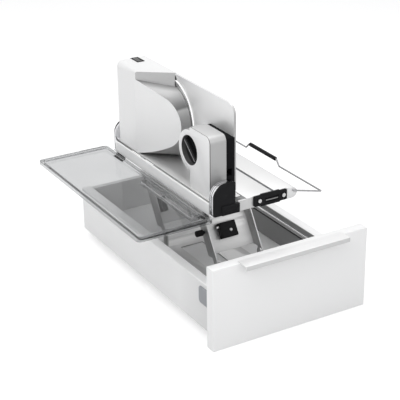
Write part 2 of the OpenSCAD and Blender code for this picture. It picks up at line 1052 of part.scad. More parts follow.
module bail_wire() {
    up = bail_tip_z + jog_up;
    path = [
        [bail_x, base_y0 + bail_in, bail_z], [bail_x, bail_near, bail_z],
        [bail_tip_x, bail_near, bail_tip_z], [bail_tip_x, jog_near, bail_tip_z],
        [bail_tip_x, jog_top_near, up], [bail_tip_x, jog_top_far, up],
        [bail_tip_x, jog_far, bail_tip_z], [bail_tip_x, bail_far, bail_tip_z],
        [bail_x, bail_far, bail_z], [bail_x, nose_y1 - bail_in, bail_z]
    ];
    color("silver") in_frame() for (i = [1 : len(path) - 1])
        wire_piece(path[i - 1], path[i]);
}

module bail_grip() {
    z = bail_tip_z + jog_up;
    color("black") in_frame() difference() {
        bar_y(grip_d / 2, jog_top_near + grip_inset, jog_top_far - grip_inset, bail_tip_x, z);
        bar_y(wire_d / 2, jog_top_near, jog_top_far, bail_tip_x, z);
    }
}

module foot_plate() {
    color("gainsboro") in_frame()
        box([unit_x0, foot_y0, unit_z0 - foot_t], [foot_x1, unit_y1, unit_z0]);
}

// Plan of the housing behind its slanted front
module housing_plan(inset) {
    difference() {
        polygon([[unit_x0 + inset, lip_y1 + inset], [unit_x1, lip_y0 + inset],
                 [unit_x1, unit_y1 - inset], [unit_x0 + inset, unit_y1 - inset]]);
        soft_corner(unit_x0 + inset, unit_y1 - inset, 1, -1, housing_r - inset);
    }
}

// Housing without its drum, rounded along the outer top edge
module housing_body(inset, z0) {
    intersection() {
        upwards(z0, unit_top) housing_plan(inset);
        along(lip_y0, unit_y1)
            soft_rect(unit_x0 + inset, z0, unit_x1, unit_top - inset, 0, 0, 0, top_r - inset);
    }
}

// Cone behind the blade; its front edge runs straight across the drawer
module scoop_cone(inset) {
    translate([unit_x1, blade_y - scoop_nose, blade_z]) rotate([0, scoop_tilt, 0])
        translate([-scoop_apex, 0, 0]) rotate([0, 0, scoop_angle])
            translate([inset / sin(scoop_angle), 0, 0]) rotate([0, 90, 0])
                cylinder(r1 = 0, r2 = scoop_len * tan(scoop_angle), h = scoop_len);
}

// Sloping face that leads from the cone to the housing's front edge
module scoop_ramp(inset, turn, rise, far_rise) {
    rotate([0, -turn, 0]) across(unit_x0 - unit_x1 - block_r, block_r)
        polygon([[ramp_y0, 0], [ramp_y0, rise - inset], [ramp_y1, far_rise - inset], [ramp_y1, 0]]);
}

// The housing's scoop, cut by the slanted face that guides the slices
module scoop(inset) {
    y1 = unit_y1 - shell_t;
    intersection() {
        union() {
            scoop_cone(inset);
            translate([unit_x1, 0, blade_z]) {
                scoop_ramp(inset, ramp_turn, ramp_rise, ramp_far_rise);
                mirror([0, 0, 1]) scoop_ramp(inset, low_ramp_turn, low_ramp_rise, low_ramp_far_rise);
            }
        }
        upwards(unit_z0, unit_top - inset) polygon([
            [unit_x0 + inset, lip_y1 + inset], [slant_x + inset, slant_y],
            [unit_x1, slant_y], [unit_x1, y1], [unit_x0 + inset, y1]]);
    }
}

// Hollow shell over the drive, with a pocket for the blade on the food side
module motor_housing() {
    color("silver") in_frame() difference() {
        union() {
            housing_body(0, unit_z0);
            scoop(0);
        }
        intersection() {
            union() {
                housing_body(shell_t, unit_z0 - over);
                scoop(shell_t);
            }
            box([0, 0, 0], [wall_x0, drawer_len, unit_top]);
        }
        bar_x(blade_r + pocket_gap, blade_x0 - pocket_back, unit_x1 + over, blade_y, blade_z);
        bar_x(hub_hole_r, wall_x0 - over, unit_x1 + over, blade_y, blade_z);
        box([switch_x0, switch_y0, unit_top - shell_t - over],
            [switch_x0 + switch_w, switch_y0 + switch_len, unit_top + over]);
        bar_y(fold_pin_r + run_gap, unit_y1 - shell_t - over, unit_y1 + over, fold_x, fold_z);
    }
}

// Bearing plate that carries the blade spindle
module spindle_bracket() {
    step_z = blade_z - bracket_down;
    top = blade_z + bracket_up;
    color("gray") in_frame() across(bracket_x0, bracket_x1) difference() {
        polygon([[bracket_foot_y, unit_z0], [bracket_y1, unit_z0], [bracket_y1, top],
                 [bracket_y0, top], [bracket_y0, step_z], [bracket_foot_y, step_z]]);
        translate([blade_y, blade_z]) circle(spindle_r);
    }
}

module blade_spindle() {
    color("silver") in_frame() bar_x(spindle_r, spindle_x0, spindle_x1, blade_y, blade_z);
}

module motor_mount() {
    color("gray") in_frame() across(motor_x1, motor_x1 + mount_t) difference() {
        rect(motor_y - mount_half, unit_z0, motor_y + mount_half, blade_z + mount_half);
        translate([motor_y, blade_z]) circle(mount_hole_r);
    }
}

module motor() {
    color("dimgray") in_frame() difference() {
        union() {
            bar_x(motor_r, motor_x0, motor_x1, motor_y, blade_z);
            bar_x(motor_cap_r, motor_x0 - motor_cap_t, motor_x0, motor_y, blade_z);
        }
        bar_x(shaft_r + run_gap, shaft_x0 - slide_gap, motor_x1 + over, motor_y, blade_z);
    }
}

// Spur gear with straight-sided teeth, thinned for running play
module gear_outline(teeth, phase) {
    step = 360 / teeth;
    pitch_r = gear_m * teeth / 2;
    ro = pitch_r + gear_m * tip_height_share;
    ri = pitch_r - gear_m * root_depth_share;
    flank = [[ri, -root_share / 2], [ro, -tip_share / 2], [ro, tip_share / 2], [ri, root_share / 2]];
    polygon([for (i = [0 : teeth - 1]) for (c = flank)
        [c[0] * cos((i + c[1]) * step + phase), c[0] * sin((i + c[1]) * step + phase)]]);
}

// Repeats a piece at the blade's screws, seen along the spindle
module blade_screw_row() {
    for (i = [0 : blade_screw_count - 1])
        rotate([i * 360 / blade_screw_count, 0, 0]) translate([0, blade_screw_ring, 0]) children();
}

module drive_gear() {
    color("gold") in_frame() translate([0, blade_y, blade_z]) difference() {
        union() {
            across(gear_x0, gear_x1) gear_outline(gear_teeth, 0);
            bar_x(hub_r, hub_x0, blade_x0, 0, 0);
        }
        bar_x(spindle_r + run_gap, hub_x0 - over, blade_x0 + over, 0, 0);
        blade_screw_row() bar_x(blade_screw_r, blade_screw_x0, blade_x0 + over, 0, 0);
    }
}

// The pinion and the motor shaft are one piece
module motor_pinion() {
    color("silver") in_frame() translate([0, motor_y, blade_z]) {
        across(gear_x0, gear_x1) gear_outline(pinion_teeth, 180 / pinion_teeth);
        bar_x(shaft_r, shaft_x0, shaft_x1, 0, 0);
    }
}

// Disc with a ground bevel on the food side
module blade() {
    color("lightgray") in_frame() translate([0, blade_y, blade_z]) difference() {
        translate([blade_x0, 0, 0]) rotate([0, 90, 0]) rotate_extrude() polygon([
            [0, 0], [blade_r, 0], [blade_r, blade_t * blade_edge_share],
            [blade_r - blade_bevel, blade_t], [0, blade_t]]);
        blade_screw_row() bar_x(blade_screw_r, blade_x0 - over, blade_x1 + over, 0, 0);
    }
}

module blade_screws() {
    color("silver") in_frame() translate([0, blade_y, blade_z])
        blade_screw_row() bar_x(blade_screw_r, blade_screw_x0, blade_x1, 0, 0);
}

module switch_frame() {
    x1 = switch_x0 + switch_w;
    y1 = switch_y0 + switch_len;
    w = switch_wall;
    z0 = unit_top - switch_deep;
    color("black") in_frame() difference() {
        box([switch_x0, switch_y0, z0], [x1, y1, unit_top + switch_rim]);
        box([switch_x0 + w, switch_y0 + w, z0 - over], [x1 - w, y1 - w, unit_top + over]);
        bar_x(rocker_pin_r + run_gap, switch_x0 - over, x1 + over, rocker_y, rocker_z);
    }
}

// Shallow rocker pressed at either end, on two pins in the frame's walls
module switch_rocker() {
    w = switch_wall + rocker_gap;
    y0 = switch_y0 + w;
    y1 = switch_y0 + switch_len - w;
    z0 = unit_top - switch_deep;
    z1 = unit_top + rocker_up;
    pin_in = switch_wall - rocker_pin_in;
    color("dimgray") in_frame() {
        across(switch_x0 + w, switch_x0 + switch_w - w)
            polygon([[y0 + rocker_low, z0], [y1 - rocker_low, z0], [y1, z1],
                     [rocker_y, z1 - rocker_dip], [y0, z1]]);
        bar_x(rocker_pin_r, switch_x0 + pin_in, switch_x0 + switch_w - pin_in, rocker_y, rocker_z);
    }
}

// Face of the thickness block with its round boss
module block_outline(inset) {
    soft_rect(block_y0 + inset, unit_z0 + inset, block_y1 - inset, block_top - inset,
              0, 0, 0, block_r - inset);
    translate([ring_y, ring_z]) circle(ring_r - inset);
}

module thickness_block() {
    x1 = block_x0 + block_wall + sleeve_len;
    sleeve_r = knob_r + knob_gap;
    color("silver") in_frame() difference() {
        union() {
            difference() {
                across(block_x0, block_x1) block_outline(0);
                across(block_x0 + block_wall, block_x1 + over) block_outline(block_wall);
            }
            bar_x(sleeve_r + sleeve_wall, block_x0, x1, ring_y, ring_z);
        }
        bar_x(sleeve_r, block_x0 - over, x1 - sleeve_web, ring_y, ring_z);
        bar_x(spin_r + run_gap, x1 - sleeve_web - over, x1 + over, ring_y, ring_z);
        bar_y(fold_pin_r + run_gap, block_y0 - over, block_y0 + block_wall + over, fold_x, fold_z);
    }
}

module guide_rods() {
    x0 = block_x0 + block_wall;
    color("silver") in_frame() {
        bar_x(rod_r, x0, x0 + rod_len, rod_ya, rod_za);
        bar_x(rod_r, x0, x0 + rod_len, rod_yb, rod_zb);
    }
}

// Sunk knob with a grip bar, a spindle and the setting cam
module thickness_knob() {
    half = knob_r - bar_inset;
    color("black") in_frame() translate([0, ring_y, ring_z]) {
        bar_x(knob_r, knob_x0, knob_x0 + knob_t, 0, 0);
        rotate([bar_turn, 0, 0]) box([bar_x0, -bar_w / 2, -half], [knob_x0, bar_w / 2, half]);
        bar_x(spin_r, knob_x0, cam_x0 + cam_t, 0, 0);
        bar_x(cam_r, cam_x0, cam_x0 + cam_t, 0, 0);
    }
}

// Face of the carrier, which lies in a rebate of the stop plate open at its near edge
module carrier_outline(y0) {
    soft_rect(y0, carrier_z0, carrier_y1, carrier_z0 + carrier_h, 0, 0, carrier_r, 0);
}

// Upright plate hollowed to follow the blade's edge, bevelled behind the hollow
module stop_plate() {
    arc_r = blade_r + pocket_gap + stop_gap;
    bevel_t = stop_plate_t * stop_bevel_share;
    color("whitesmoke") in_frame() difference() {
        across(stop_x0, unit_x1) difference() {
            soft_rect(stop_y0, stop_z0, stop_top_y, unit_top, stop_low_r, 0, 0, stop_r);
            translate([blade_y, blade_z]) circle(arc_r);
        }
        translate([stop_x0 - bevel_t, blade_y, blade_z]) rotate([0, 90, 0])
            cylinder(r1 = arc_r + 2 * stop_bevel, r2 = arc_r, h = 2 * bevel_t);
        across(stop_x0 - over, stop_x0 + stop_rebate) carrier_outline(stop_y0 - over);
    }
}

// Slide behind the stop plate, with two guide bores and a cam follower
module stop_carrier() {
    low_top = carrier_z0 + low_arm_h;
    color("black") in_frame() difference() {
        union() {
            across(carrier_x0, stop_x0 + stop_rebate) carrier_outline(carrier_y0);
            box([arm_x0, carrier_y0, carrier_z0], [carrier_x0, low_arm_y1, low_top]);
            box([arm_x0, carrier_y0, rod_zb - high_arm_half],
                [carrier_x0, high_arm_y1, rod_zb + high_arm_half]);
            bar_x(post_d / 2, post_x0, carrier_x0, ring_y, ring_z + post_off);
        }
        bar_x(rod_r + run_gap, arm_x0 - over, carrier_x0 - over, rod_ya, rod_za);
        bar_x(rod_r + run_gap, arm_x0 - over, carrier_x0 - over, rod_yb, rod_zb);
    }
}

// Ring between two outlines drawn in from the tray's rim
module tray_ring(z0, z1, a, b) {
    upwards(z0, z1) difference() {
        round_rect(tray_x0 + a, tray_y0 + a, tray_x1 - a, tray_y1 - a, tray_r);
        round_rect(tray_x0 + b, tray_y0 + b, tray_x1 - b, tray_y1 - b, tray_r - tray_wall);
    }
}

// Tray with a raised and skirted rim, a hollow rib and a round post underneath
module slice_tray() {
    e = tray_rim - tray_wall;
    color("lightblue") in_frame() {
        upwards(tray_z0, tray_z0 + tray_floor)
            round_rect(tray_x0 + e, tray_y0 + e, tray_x1 - e, tray_y1 - e, tray_r);
        tray_ring(tray_z0, tray_z1, e, tray_rim);
        tray_ring(tray_z1 - tray_rim_t, tray_z1, 0, tray_rim);
        tray_ring(tray_z0, tray_z1, 0, tray_rim_t);
        difference() {
            box([rib_x0, rib_y0, tray_z0 - rib_h], [rib_x0 + rib_w, rib_y1, tray_z0]);
            box([rib_x0 + rib_wall, rib_y0 + rib_wall, tray_z0 - rib_h - over],
                [rib_x0 + rib_w - rib_wall, rib_y1 - rib_wall, tray_z0]);
        }
        bar_z(rib_post_r, tray_z0 - rib_post_h, tray_z0, rib_x0 + rib_post_dx, rib_y0 + rib_post_dy);
    }
}

left_cabinet_rail();
right_cabinet_rail();
left_middle_rail();
right_middle_rail();
drawer_runners();
left_side_profile();
right_side_profile();
drawer_floor();
drawer_back();
drawer_front();
grip_profile();
front_fixing_blocks();
side_cover_caps();
gallery_rails();
insert_strips();
floor_frame();
lower_swing_pins();
front_swing_frame();
latch_housing();
latch_button();
latch_bolt();
swing_buffer();
rear_swing_frame();
rear_swing_block();
base_frame();
upper_swing_pins();
deck_plate();
deck_nose_profile();
deck_guide();
nose_end_caps();
near_end_cap();
end_cap_screws();
near_hinge_cheek();
far_hinge_cheek();
near_cheek_trim();
far_cheek_trim();
fold_pins();
tray_hooks();
mains_gland();
release_button();
bail_wire();
bail_grip();
foot_plate();
motor_housing();
spindle_bracket();
blade_spindle();
motor_mount();
motor();
switch_frame();
switch_rocker();
thickness_block();
guide_rods();
thickness_knob();
stop_plate();
stop_carrier();
blade();
blade_screws();
drive_gear();
motor_pinion();
slice_tray();
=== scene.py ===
import json
import math
import bpy
import bmesh
from mathutils import Matrix, Vector

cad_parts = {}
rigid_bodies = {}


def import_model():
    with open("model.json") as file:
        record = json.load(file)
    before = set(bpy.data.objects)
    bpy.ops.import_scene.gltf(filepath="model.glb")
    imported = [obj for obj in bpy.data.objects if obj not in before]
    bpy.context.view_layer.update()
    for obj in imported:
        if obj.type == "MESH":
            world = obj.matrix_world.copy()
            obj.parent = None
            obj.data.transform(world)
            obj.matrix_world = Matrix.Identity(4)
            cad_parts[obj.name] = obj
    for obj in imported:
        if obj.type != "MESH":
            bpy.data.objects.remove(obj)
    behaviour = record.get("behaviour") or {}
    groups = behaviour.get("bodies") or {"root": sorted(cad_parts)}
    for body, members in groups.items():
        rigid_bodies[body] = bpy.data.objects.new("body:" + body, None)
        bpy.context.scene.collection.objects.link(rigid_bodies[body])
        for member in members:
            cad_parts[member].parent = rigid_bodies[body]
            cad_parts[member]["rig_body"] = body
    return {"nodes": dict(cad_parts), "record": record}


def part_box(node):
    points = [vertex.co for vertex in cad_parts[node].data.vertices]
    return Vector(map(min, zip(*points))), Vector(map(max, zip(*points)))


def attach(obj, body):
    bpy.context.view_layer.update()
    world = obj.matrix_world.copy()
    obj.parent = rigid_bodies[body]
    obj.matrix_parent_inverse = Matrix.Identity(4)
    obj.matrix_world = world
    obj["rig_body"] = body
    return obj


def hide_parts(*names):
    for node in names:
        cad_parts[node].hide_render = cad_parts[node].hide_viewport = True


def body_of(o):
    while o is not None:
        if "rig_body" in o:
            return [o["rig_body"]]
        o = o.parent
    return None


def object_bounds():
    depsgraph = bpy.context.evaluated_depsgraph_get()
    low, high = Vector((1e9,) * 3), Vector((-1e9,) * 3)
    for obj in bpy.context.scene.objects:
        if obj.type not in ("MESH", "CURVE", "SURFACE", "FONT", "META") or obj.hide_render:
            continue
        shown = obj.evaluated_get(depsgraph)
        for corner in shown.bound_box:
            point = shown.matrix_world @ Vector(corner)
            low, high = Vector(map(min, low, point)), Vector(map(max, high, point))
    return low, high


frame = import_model()
cad_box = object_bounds()
nodes = frame["nodes"]

MM = 0.001
DRAWER_ZERO = (148.0, 250.0, 14.0)

bpy.context.scene.view_settings.view_transform = "Standard"


def drawer_point(x, y, z):
    """A point in the drawer's own millimetres, as metres in the model's frame."""
    return Vector([(value - zero) * MM for value, zero in zip((x, y, z), DRAWER_ZERO)])


def drawer_box(node):
    """Lowest and highest corner of a CAD node in the drawer's own millimetres."""
    low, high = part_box(node)
    return low / MM + Vector(DRAWER_ZERO), high / MM + Vector(DRAWER_ZERO)


def turn_angles(count):
    """Angles of count even steps round a full turn."""
    return [2.0 * math.pi * k / count for k in range(count)]


# Camera
YAW, PITCH, ROLL = math.radians(30.2112), math.radians(24.197), math.radians(-0.717)
CAMERA_AT = drawer_point(-838.3, -1404.2, 998.4)
FOCAL_PIXELS, FRAME_PIXELS = 1207.73, 400.0


def add_camera():
    """The photo's camera, worked out from its edges."""
    data = bpy.data.cameras.new("view")
    data.sensor_fit = "HORIZONTAL"
    data.sensor_width = 36.0
    data.lens = 36.0 * FOCAL_PIXELS / FRAME_PIXELS
    data.clip_start, data.clip_end = 0.05, 30.0
    camera = bpy.data.objects.new("view", data)
    forward = Vector((math.sin(YAW) * math.cos(PITCH), math.cos(YAW) * math.cos(PITCH), -math.sin(PITCH)))
    right = Vector((math.cos(YAW), -math.sin(YAW), 0.0))
    up = right.cross(forward)
    right, up = (right * math.cos(ROLL) + up * math.sin(ROLL),
                 up * math.cos(ROLL) - right * math.sin(ROLL))
    turn = Matrix((right, up, -forward)).transposed()
    camera.matrix_world = Matrix.Translation(CAMERA_AT) @ turn.to_4x4()
    bpy.context.scene.collection.objects.link(camera)
    bpy.context.scene.camera = camera


add_camera()


# Materials
def new_material(name):
    m = bpy.data.materials.new(name)
    m.use_nodes = True
    tree = m.node_tree
    return m, tree, tree.nodes["Principled BSDF"]


def noise(tree, scale, detail=3.0, rough=0.5, stretch=None):
    """A noise on object coordinates, in metres; stretch scales its axes."""
    place = tree.nodes.new("ShaderNodeTexCoord")
    node = tree.nodes.new("ShaderNodeTexNoise")
    node.inputs["Scale"].default_value = scale
    node.inputs["Detail"].default_value = detail
    node.inputs["Roughness"].default_value = rough
    if stretch:
        move = tree.nodes.new("ShaderNodeMapping")
        move.inputs["Scale"].default_value = stretch
        tree.links.new(place.outputs["Object"], move.inputs["Vector"])
        tree.links.new(move.outputs["Vector"], node.inputs["Vector"])
    else:
        tree.links.new(place.outputs["Object"], node.inputs["Vector"])
    return node.outputs["Fac"]


def ranged(tree, source, low, high, start=0.0, end=1.0):
    """source, mapped from start..end to low..high."""
    node = tree.nodes.new("ShaderNodeMapRange")
    node.inputs["From Min"].default_value = start
    node.inputs["From Max"].default_value = end
    node.inputs["To Min"].default_value = low
    node.inputs["To Max"].default_value = high
    tree.links.new(source, node.inputs["Value"])
    return node.outputs["Result"]


def tinted(tree, source, dark, light):
    """Colour between dark and light, chosen by source."""
    mix = tree.nodes.new("ShaderNodeMix")
    mix.data_type = "RGBA"
    mix.inputs["A"].default_value = (*dark, 1.0)
    mix.inputs["B"].default_value = (*light, 1.0)
    tree.links.new(source, mix.inputs["Factor"])
    return mix.outputs["Result"]


def drifted(tree, source, color, spread):
    """color, drifting with source by the share spread to either side."""
    low = tuple(c * (1.0 - spread) for c in color)
    high = tuple(min(1.0, c * (1.0 + spread)) for c in color)
    return tinted(tree, source, low, high)


def combined(tree, kind, first, second):
    """One maths step of two values."""
    node = tree.nodes.new("ShaderNodeMath")
    node.operation = kind
    for at, value in enumerate((first, second)):
        if isinstance(value, float):
            node.inputs[at].default_value = value
        else:
            tree.links.new(value, node.inputs[at])
    return node.outputs[0]


def bump(tree, bsdf, height, distance):
    """Bump of a height, distance metres deep."""
    node = tree.nodes.new("ShaderNodeBump")
    node.inputs["Distance"].default_value = distance
    node.inputs["Strength"].default_value = 1.0
    tree.links.new(height, node.inputs["Height"])
    tree.links.new(node.outputs["Normal"], bsdf.inputs["Normal"])


def shade(v):
    """A grey."""
    return (v, v, v)


def plastic(name, color, rough, grain=900.0, depth=0.00006, spread=0.12, gloss=0.4):
    """Moulded plastic: fine grain, cloudy sheen and slight colour drift."""
    m, tree, bsdf = new_material(name)
    bsdf.inputs["Specular IOR Level"].default_value = gloss
    cloud = noise(tree, 18.0, 4.0)
    fine = noise(tree, grain, 2.0)
    tree.links.new(drifted(tree, cloud, color, spread), bsdf.inputs["Base Color"])
    tree.links.new(ranged(tree, cloud, rough * 0.85, rough * 1.15, 0.3, 0.7),
                   bsdf.inputs["Roughness"])
    bump(tree, bsdf, fine, depth)
    return m


def brushed(name, color, rough, along, lines=420.0, depth=0.00004, metal=1.0, spread=0.06):
    """Metal brushed along one axis: long fine lines in colour, roughness and height."""
    m, tree, bsdf = new_material(name)
    stretch = [1.0, 1.0, 1.0]
    stretch["XYZ".index(along)] = 0.02
    streak = noise(tree, lines, 3.0, 0.6, tuple(stretch))
    cloud = noise(tree, 9.0, 3.0)
    tree.links.new(drifted(tree, streak, color, spread), bsdf.inputs["Base Color"])
    tree.links.new(ranged(tree, streak, rough * 0.8, rough * 1.25, 0.3, 0.7),
                   bsdf.inputs["Roughness"])
    bsdf.inputs["Metallic"].default_value = metal
    bump(tree, bsdf, combined(tree, "ADD", streak, combined(tree, "MULTIPLY", cloud, 0.6)), depth)
    return m


def blasted(name, color, rough, metal=1.0, grain=1500.0, depth=0.00003, spread=0.05):
    """Blasted or metallic painted surface: sparkle-fine grain with cloudy sheen."""
    m, tree, bsdf = new_material(name)
    fine = noise(tree, grain, 2.0, 0.7)
    cloud = noise(tree, 12.0, 4.0)
    tree.links.new(drifted(tree, fine, color, spread), bsdf.inputs["Base Color"])
    tree.links.new(ranged(tree, cloud, rough * 0.88, rough * 1.12, 0.3, 0.7),
                   bsdf.inputs["Roughness"])
    bsdf.inputs["Metallic"].default_value = metal
    bump(tree, bsdf, fine, depth)
    return m


def chrome(name, color, rough):
    """Polished metal with faint smears in its gloss."""
    m, tree, bsdf = new_material(name)
    smear = noise(tree, 60.0, 5.0, 0.65, (1.0, 0.25, 1.0))
    bsdf.inputs["Base Color"].default_value = (*color, 1.0)
    bsdf.inputs["Metallic"].default_value = 1.0
    tree.links.new(ranged(tree, smear, rough * 0.5, rough * 1.8, 0.3, 0.7),
                   bsdf.inputs["Roughness"])
    bump(tree, bsdf, smear, 0.00001)
    return m


def lacquer(name, color):
    """Sprayed satin lacquer with faint orange peel."""
    m, tree, bsdf = new_material(name)
    peel = noise(tree, 260.0, 2.0, 0.4)
    cloud = noise(tree, 6.0, 3.0)
    low = tuple(c * 0.985 for c in color)
    tree.links.new(tinted(tree, cloud, low, color), bsdf.inputs["Base Color"])
    tree.links.new(ranged(tree, cloud, 0.34, 0.44, 0.3, 0.7), bsdf.inputs["Roughness"])
    bsdf.inputs["Coat Weight"].default_value = 0.25
    bsdf.inputs["Coat Roughness"].default_value = 0.25
    bump(tree, bsdf, peel, 0.00003)
    return m


def placed(tree):
    """Object coordinates of a surface point, split into X, Y and Z."""
    place = tree.nodes.new("ShaderNodeTexCoord")
    split = tree.nodes.new("ShaderNodeSeparateXYZ")
    tree.links.new(place.outputs["Object"], split.inputs[0])
    return split.outputs


def faced(tree):
    """Object-space normal of a surface point, split into X, Y and Z."""
    place = tree.nodes.new("ShaderNodeTexCoord")
    split = tree.nodes.new("ShaderNodeSeparateXYZ")
    tree.links.new(place.outputs["Normal"], split.inputs[0])
    return split.outputs


def distance_from(tree, axis):
    """Distance of a surface point from an axis along X, given by its Y and Z."""
    place = tree.nodes.new("ShaderNodeTexCoord")
    reach = tree.nodes.new("ShaderNodeVectorMath")
    reach.operation = "MULTIPLY_ADD"
    reach.inputs[1].default_value = (0.0, 1.0, 1.0)
    reach.inputs[2].default_value = (0.0, -axis[0], -axis[1])
    tree.links.new(place.outputs["Object"], reach.inputs[0])
    length = tree.nodes.new("ShaderNodeVectorMath")
    length.operation = "LENGTH"
    tree.links.new(reach.outputs["Vector"], length.inputs[0])
    return length.outputs["Value"]


def overlaid(m, color, factor):
    """Mixes color over the colour of m where factor is one."""
    tree = m.node_tree
    base = tree.nodes["Principled BSDF"].inputs["Base Color"]
    mix = tree.nodes.new("ShaderNodeMix")
    mix.data_type = "RGBA"
    mix.inputs["B"].default_value = (*color, 1.0)
    tree.links.new(base.links[0].from_socket, mix.inputs["A"])
    tree.links.new(factor, mix.inputs["Factor"])
    tree.links.new(mix.outputs["Result"], base)
    return m


def dimmed(m, share):
    """Multiplies the colour of m by share."""
    return overlaid(m, shade(0.0), combined(m.node_tree, "SUBTRACT", 1.0, share))


def inner_painted_shade(m, inner):
    """Painted shade: gives the dark colour inner to the faces that look to the middle of the object from either
    side.
    """
    tree = m.node_tree
    inward = combined(tree, "MULTIPLY", placed(tree)["X"], faced(tree)["X"])
    return overlaid(m, inner, ranged(tree, inward, 1.0, 0.0, -0.06, -0.02))


def painted_facing_shade(m, axis, least, start=0.4, end=0.95, sign=-1.0):
    """Painted shade: darkens the faces that look against an axis, or along it, down to the share least of their
    colour.
    """
    tree = m.node_tree
    look = combined(tree, "MULTIPLY", faced(tree)[axis], sign)
    return dimmed(m, ranged(tree, look, 1.0, least, start, end))


def painted_top_light(m, light):
    """Painted light: lightens the faces that look up."""
    tree = m.node_tree
    return overlaid(m, light, ranged(tree, faced(tree)["Z"], 0.0, 1.0, 0.5, 0.8))


def shaded_along(m, axis, share, start, end):
    """Painted shade: fades the colour of m from share to full between two places on an axis."""
    tree = m.node_tree
    return dimmed(m, ranged(tree, placed(tree)[axis], share, 1.0, start, end))


def seamed(m, x, width):
    """Dark seam round a moulding at x."""
    tree = m.node_tree
    off = combined(tree, "ABSOLUTE", combined(tree, "SUBTRACT", placed(tree)["X"], x), 0.0)
    return dimmed(m, ranged(tree, off, 0.12, 1.0, width * 0.4, width * 0.6))


def bored(m, axis, radius, share):
    """Darkens what lies within radius of an axis along X."""
    tree = m.node_tree
    return dimmed(m, ranged(tree, distance_from(tree, axis), share, 1.0, radius - 0.0003, radius + 0.0003))


def bevel_highlight(m, axis, radius, light):
    """Painted highlight: lightens what lies within radius of an axis along X, where the machined bevel is."""
    tree = m.node_tree
    near = ranged(tree, distance_from(tree, axis), 1.0, 0.0, radius - 0.0005, radius + 0.0005)
    return overlaid(m, light, near)


def boxed(m, color, low, high):
    """Gives color to what lies inside a box in object space."""
    tree = m.node_tree
    at = placed(tree)
    inside = combined(tree, "GREATER_THAN", at["X"], low[0])
    for axis, start in (("Y", low[1]), ("Z", low[2])):
        inside = combined(tree, "MULTIPLY", inside, combined(tree, "GREATER_THAN", at[axis], start))
    for axis, end in zip("XYZ", high):
        inside = combined(tree, "MULTIPLY", inside, combined(tree, "LESS_THAN", at[axis], end))
    return overlaid(m, color, inside)


def bar_highlight(m, axis, lean, off, half, until_x):
    """Painted highlight: bright line along the edge of a leaning bar, off beside an axis along X."""
    tree = m.node_tree
    at = placed(tree)
    across = combined(tree, "ADD", combined(tree, "MULTIPLY", at["Y"], -math.cos(lean)),
                      combined(tree, "MULTIPLY", at["Z"], math.sin(lean)))
    centre = -math.cos(lean) * axis[0] + math.sin(lean) * axis[1] + off
    away = combined(tree, "ABSOLUTE", combined(tree, "SUBTRACT", across, centre), 0.0)
    on = combined(tree, "MULTIPLY", combined(tree, "LESS_THAN", away, half),
                  combined(tree, "LESS_THAN", at["X"], until_x))
    return overlaid(m, (0.45, 0.45, 0.46), on)


def layered(m, pitch, share):
    """Dark joints across Y between bright layers."""
    tree = m.node_tree
    turn = combined(tree, "FRACT", combined(tree, "MULTIPLY", placed(tree)["Y"], 1.0 / pitch), 0.0)
    joint = combined(tree, "GREATER_THAN", turn, share)
    tree.links.new(tinted(tree, joint, (0.80, 0.80, 0.82), (0.03, 0.03, 0.03)),
                   tree.nodes["Principled BSDF"].inputs["Base Color"])
    return m


# Places that the finishes follow, with their painted shade and highlights, in metres on the object
BLADE_AXIS, KNOB_AXIS = (0.052, 0.2655), (-0.096, 0.266)
BEVEL_R, BORE_R = 0.084, 0.0250
BLOCK_SEAM_X, BLOCK_SEAM_WIDTH = -0.0963, 0.0009
# Box of the painted shadow in the gap at the right end of the housing's lip
LIP_GAP_SHADOW = ((-0.0463, 0.0360, 0.3230), (-0.0438, 0.0400, 0.3440))
# Box of the painted highlight on the near end cap
CAP_HIGHLIGHT = ((-0.008, -1.0, 0.1896), (0.015, 1.0, 0.1912))
STRIP_GROOVE = ((-1.0, -1.0, 0.0580), (1.0, 1.0, 0.0618))
# Painted highlight along the knob's bar: its lean, its offset from the knob's axis, its half width and where it
# ends in X
HIGHLIGHT_LEAN, HIGHLIGHT_OFF, HIGHLIGHT_HALF, HIGHLIGHT_END_X = math.radians(50.0), -0.0024, 0.0009, -0.0955
# The first pair is the painted shade along the drawer sides, deepest at its first Y and gone by its second
SIDE_SHADE_Y, CHEEK_LAYER = (-0.23, -0.12), 0.0045
# Painted shadow and reflection on the dome under the lip: the lip's facing, the reach of the shadow in the
# crease, where it fades in Z, and the dome's height
LIP_FACING, CREASE_SHADOW, LIP_FADE_Z, DOME_Z = (-0.609, -0.793), (-0.0025, 0.014), (0.338, 0.344), (0.20, 0.34)

# Painted shade up the dome, with a painted reflection band across its shoulder: places as shares of its height,
# each with the share of the colour that is kept there
DOME_SHADES = ((0.0, 0.45), (0.25, 0.60), (0.357, 0.85), (0.70, 0.86), (0.722, 0.28), (0.77, 0.36), (0.87, 0.62),
              (0.93, 0.66), (0.98, 0.45))


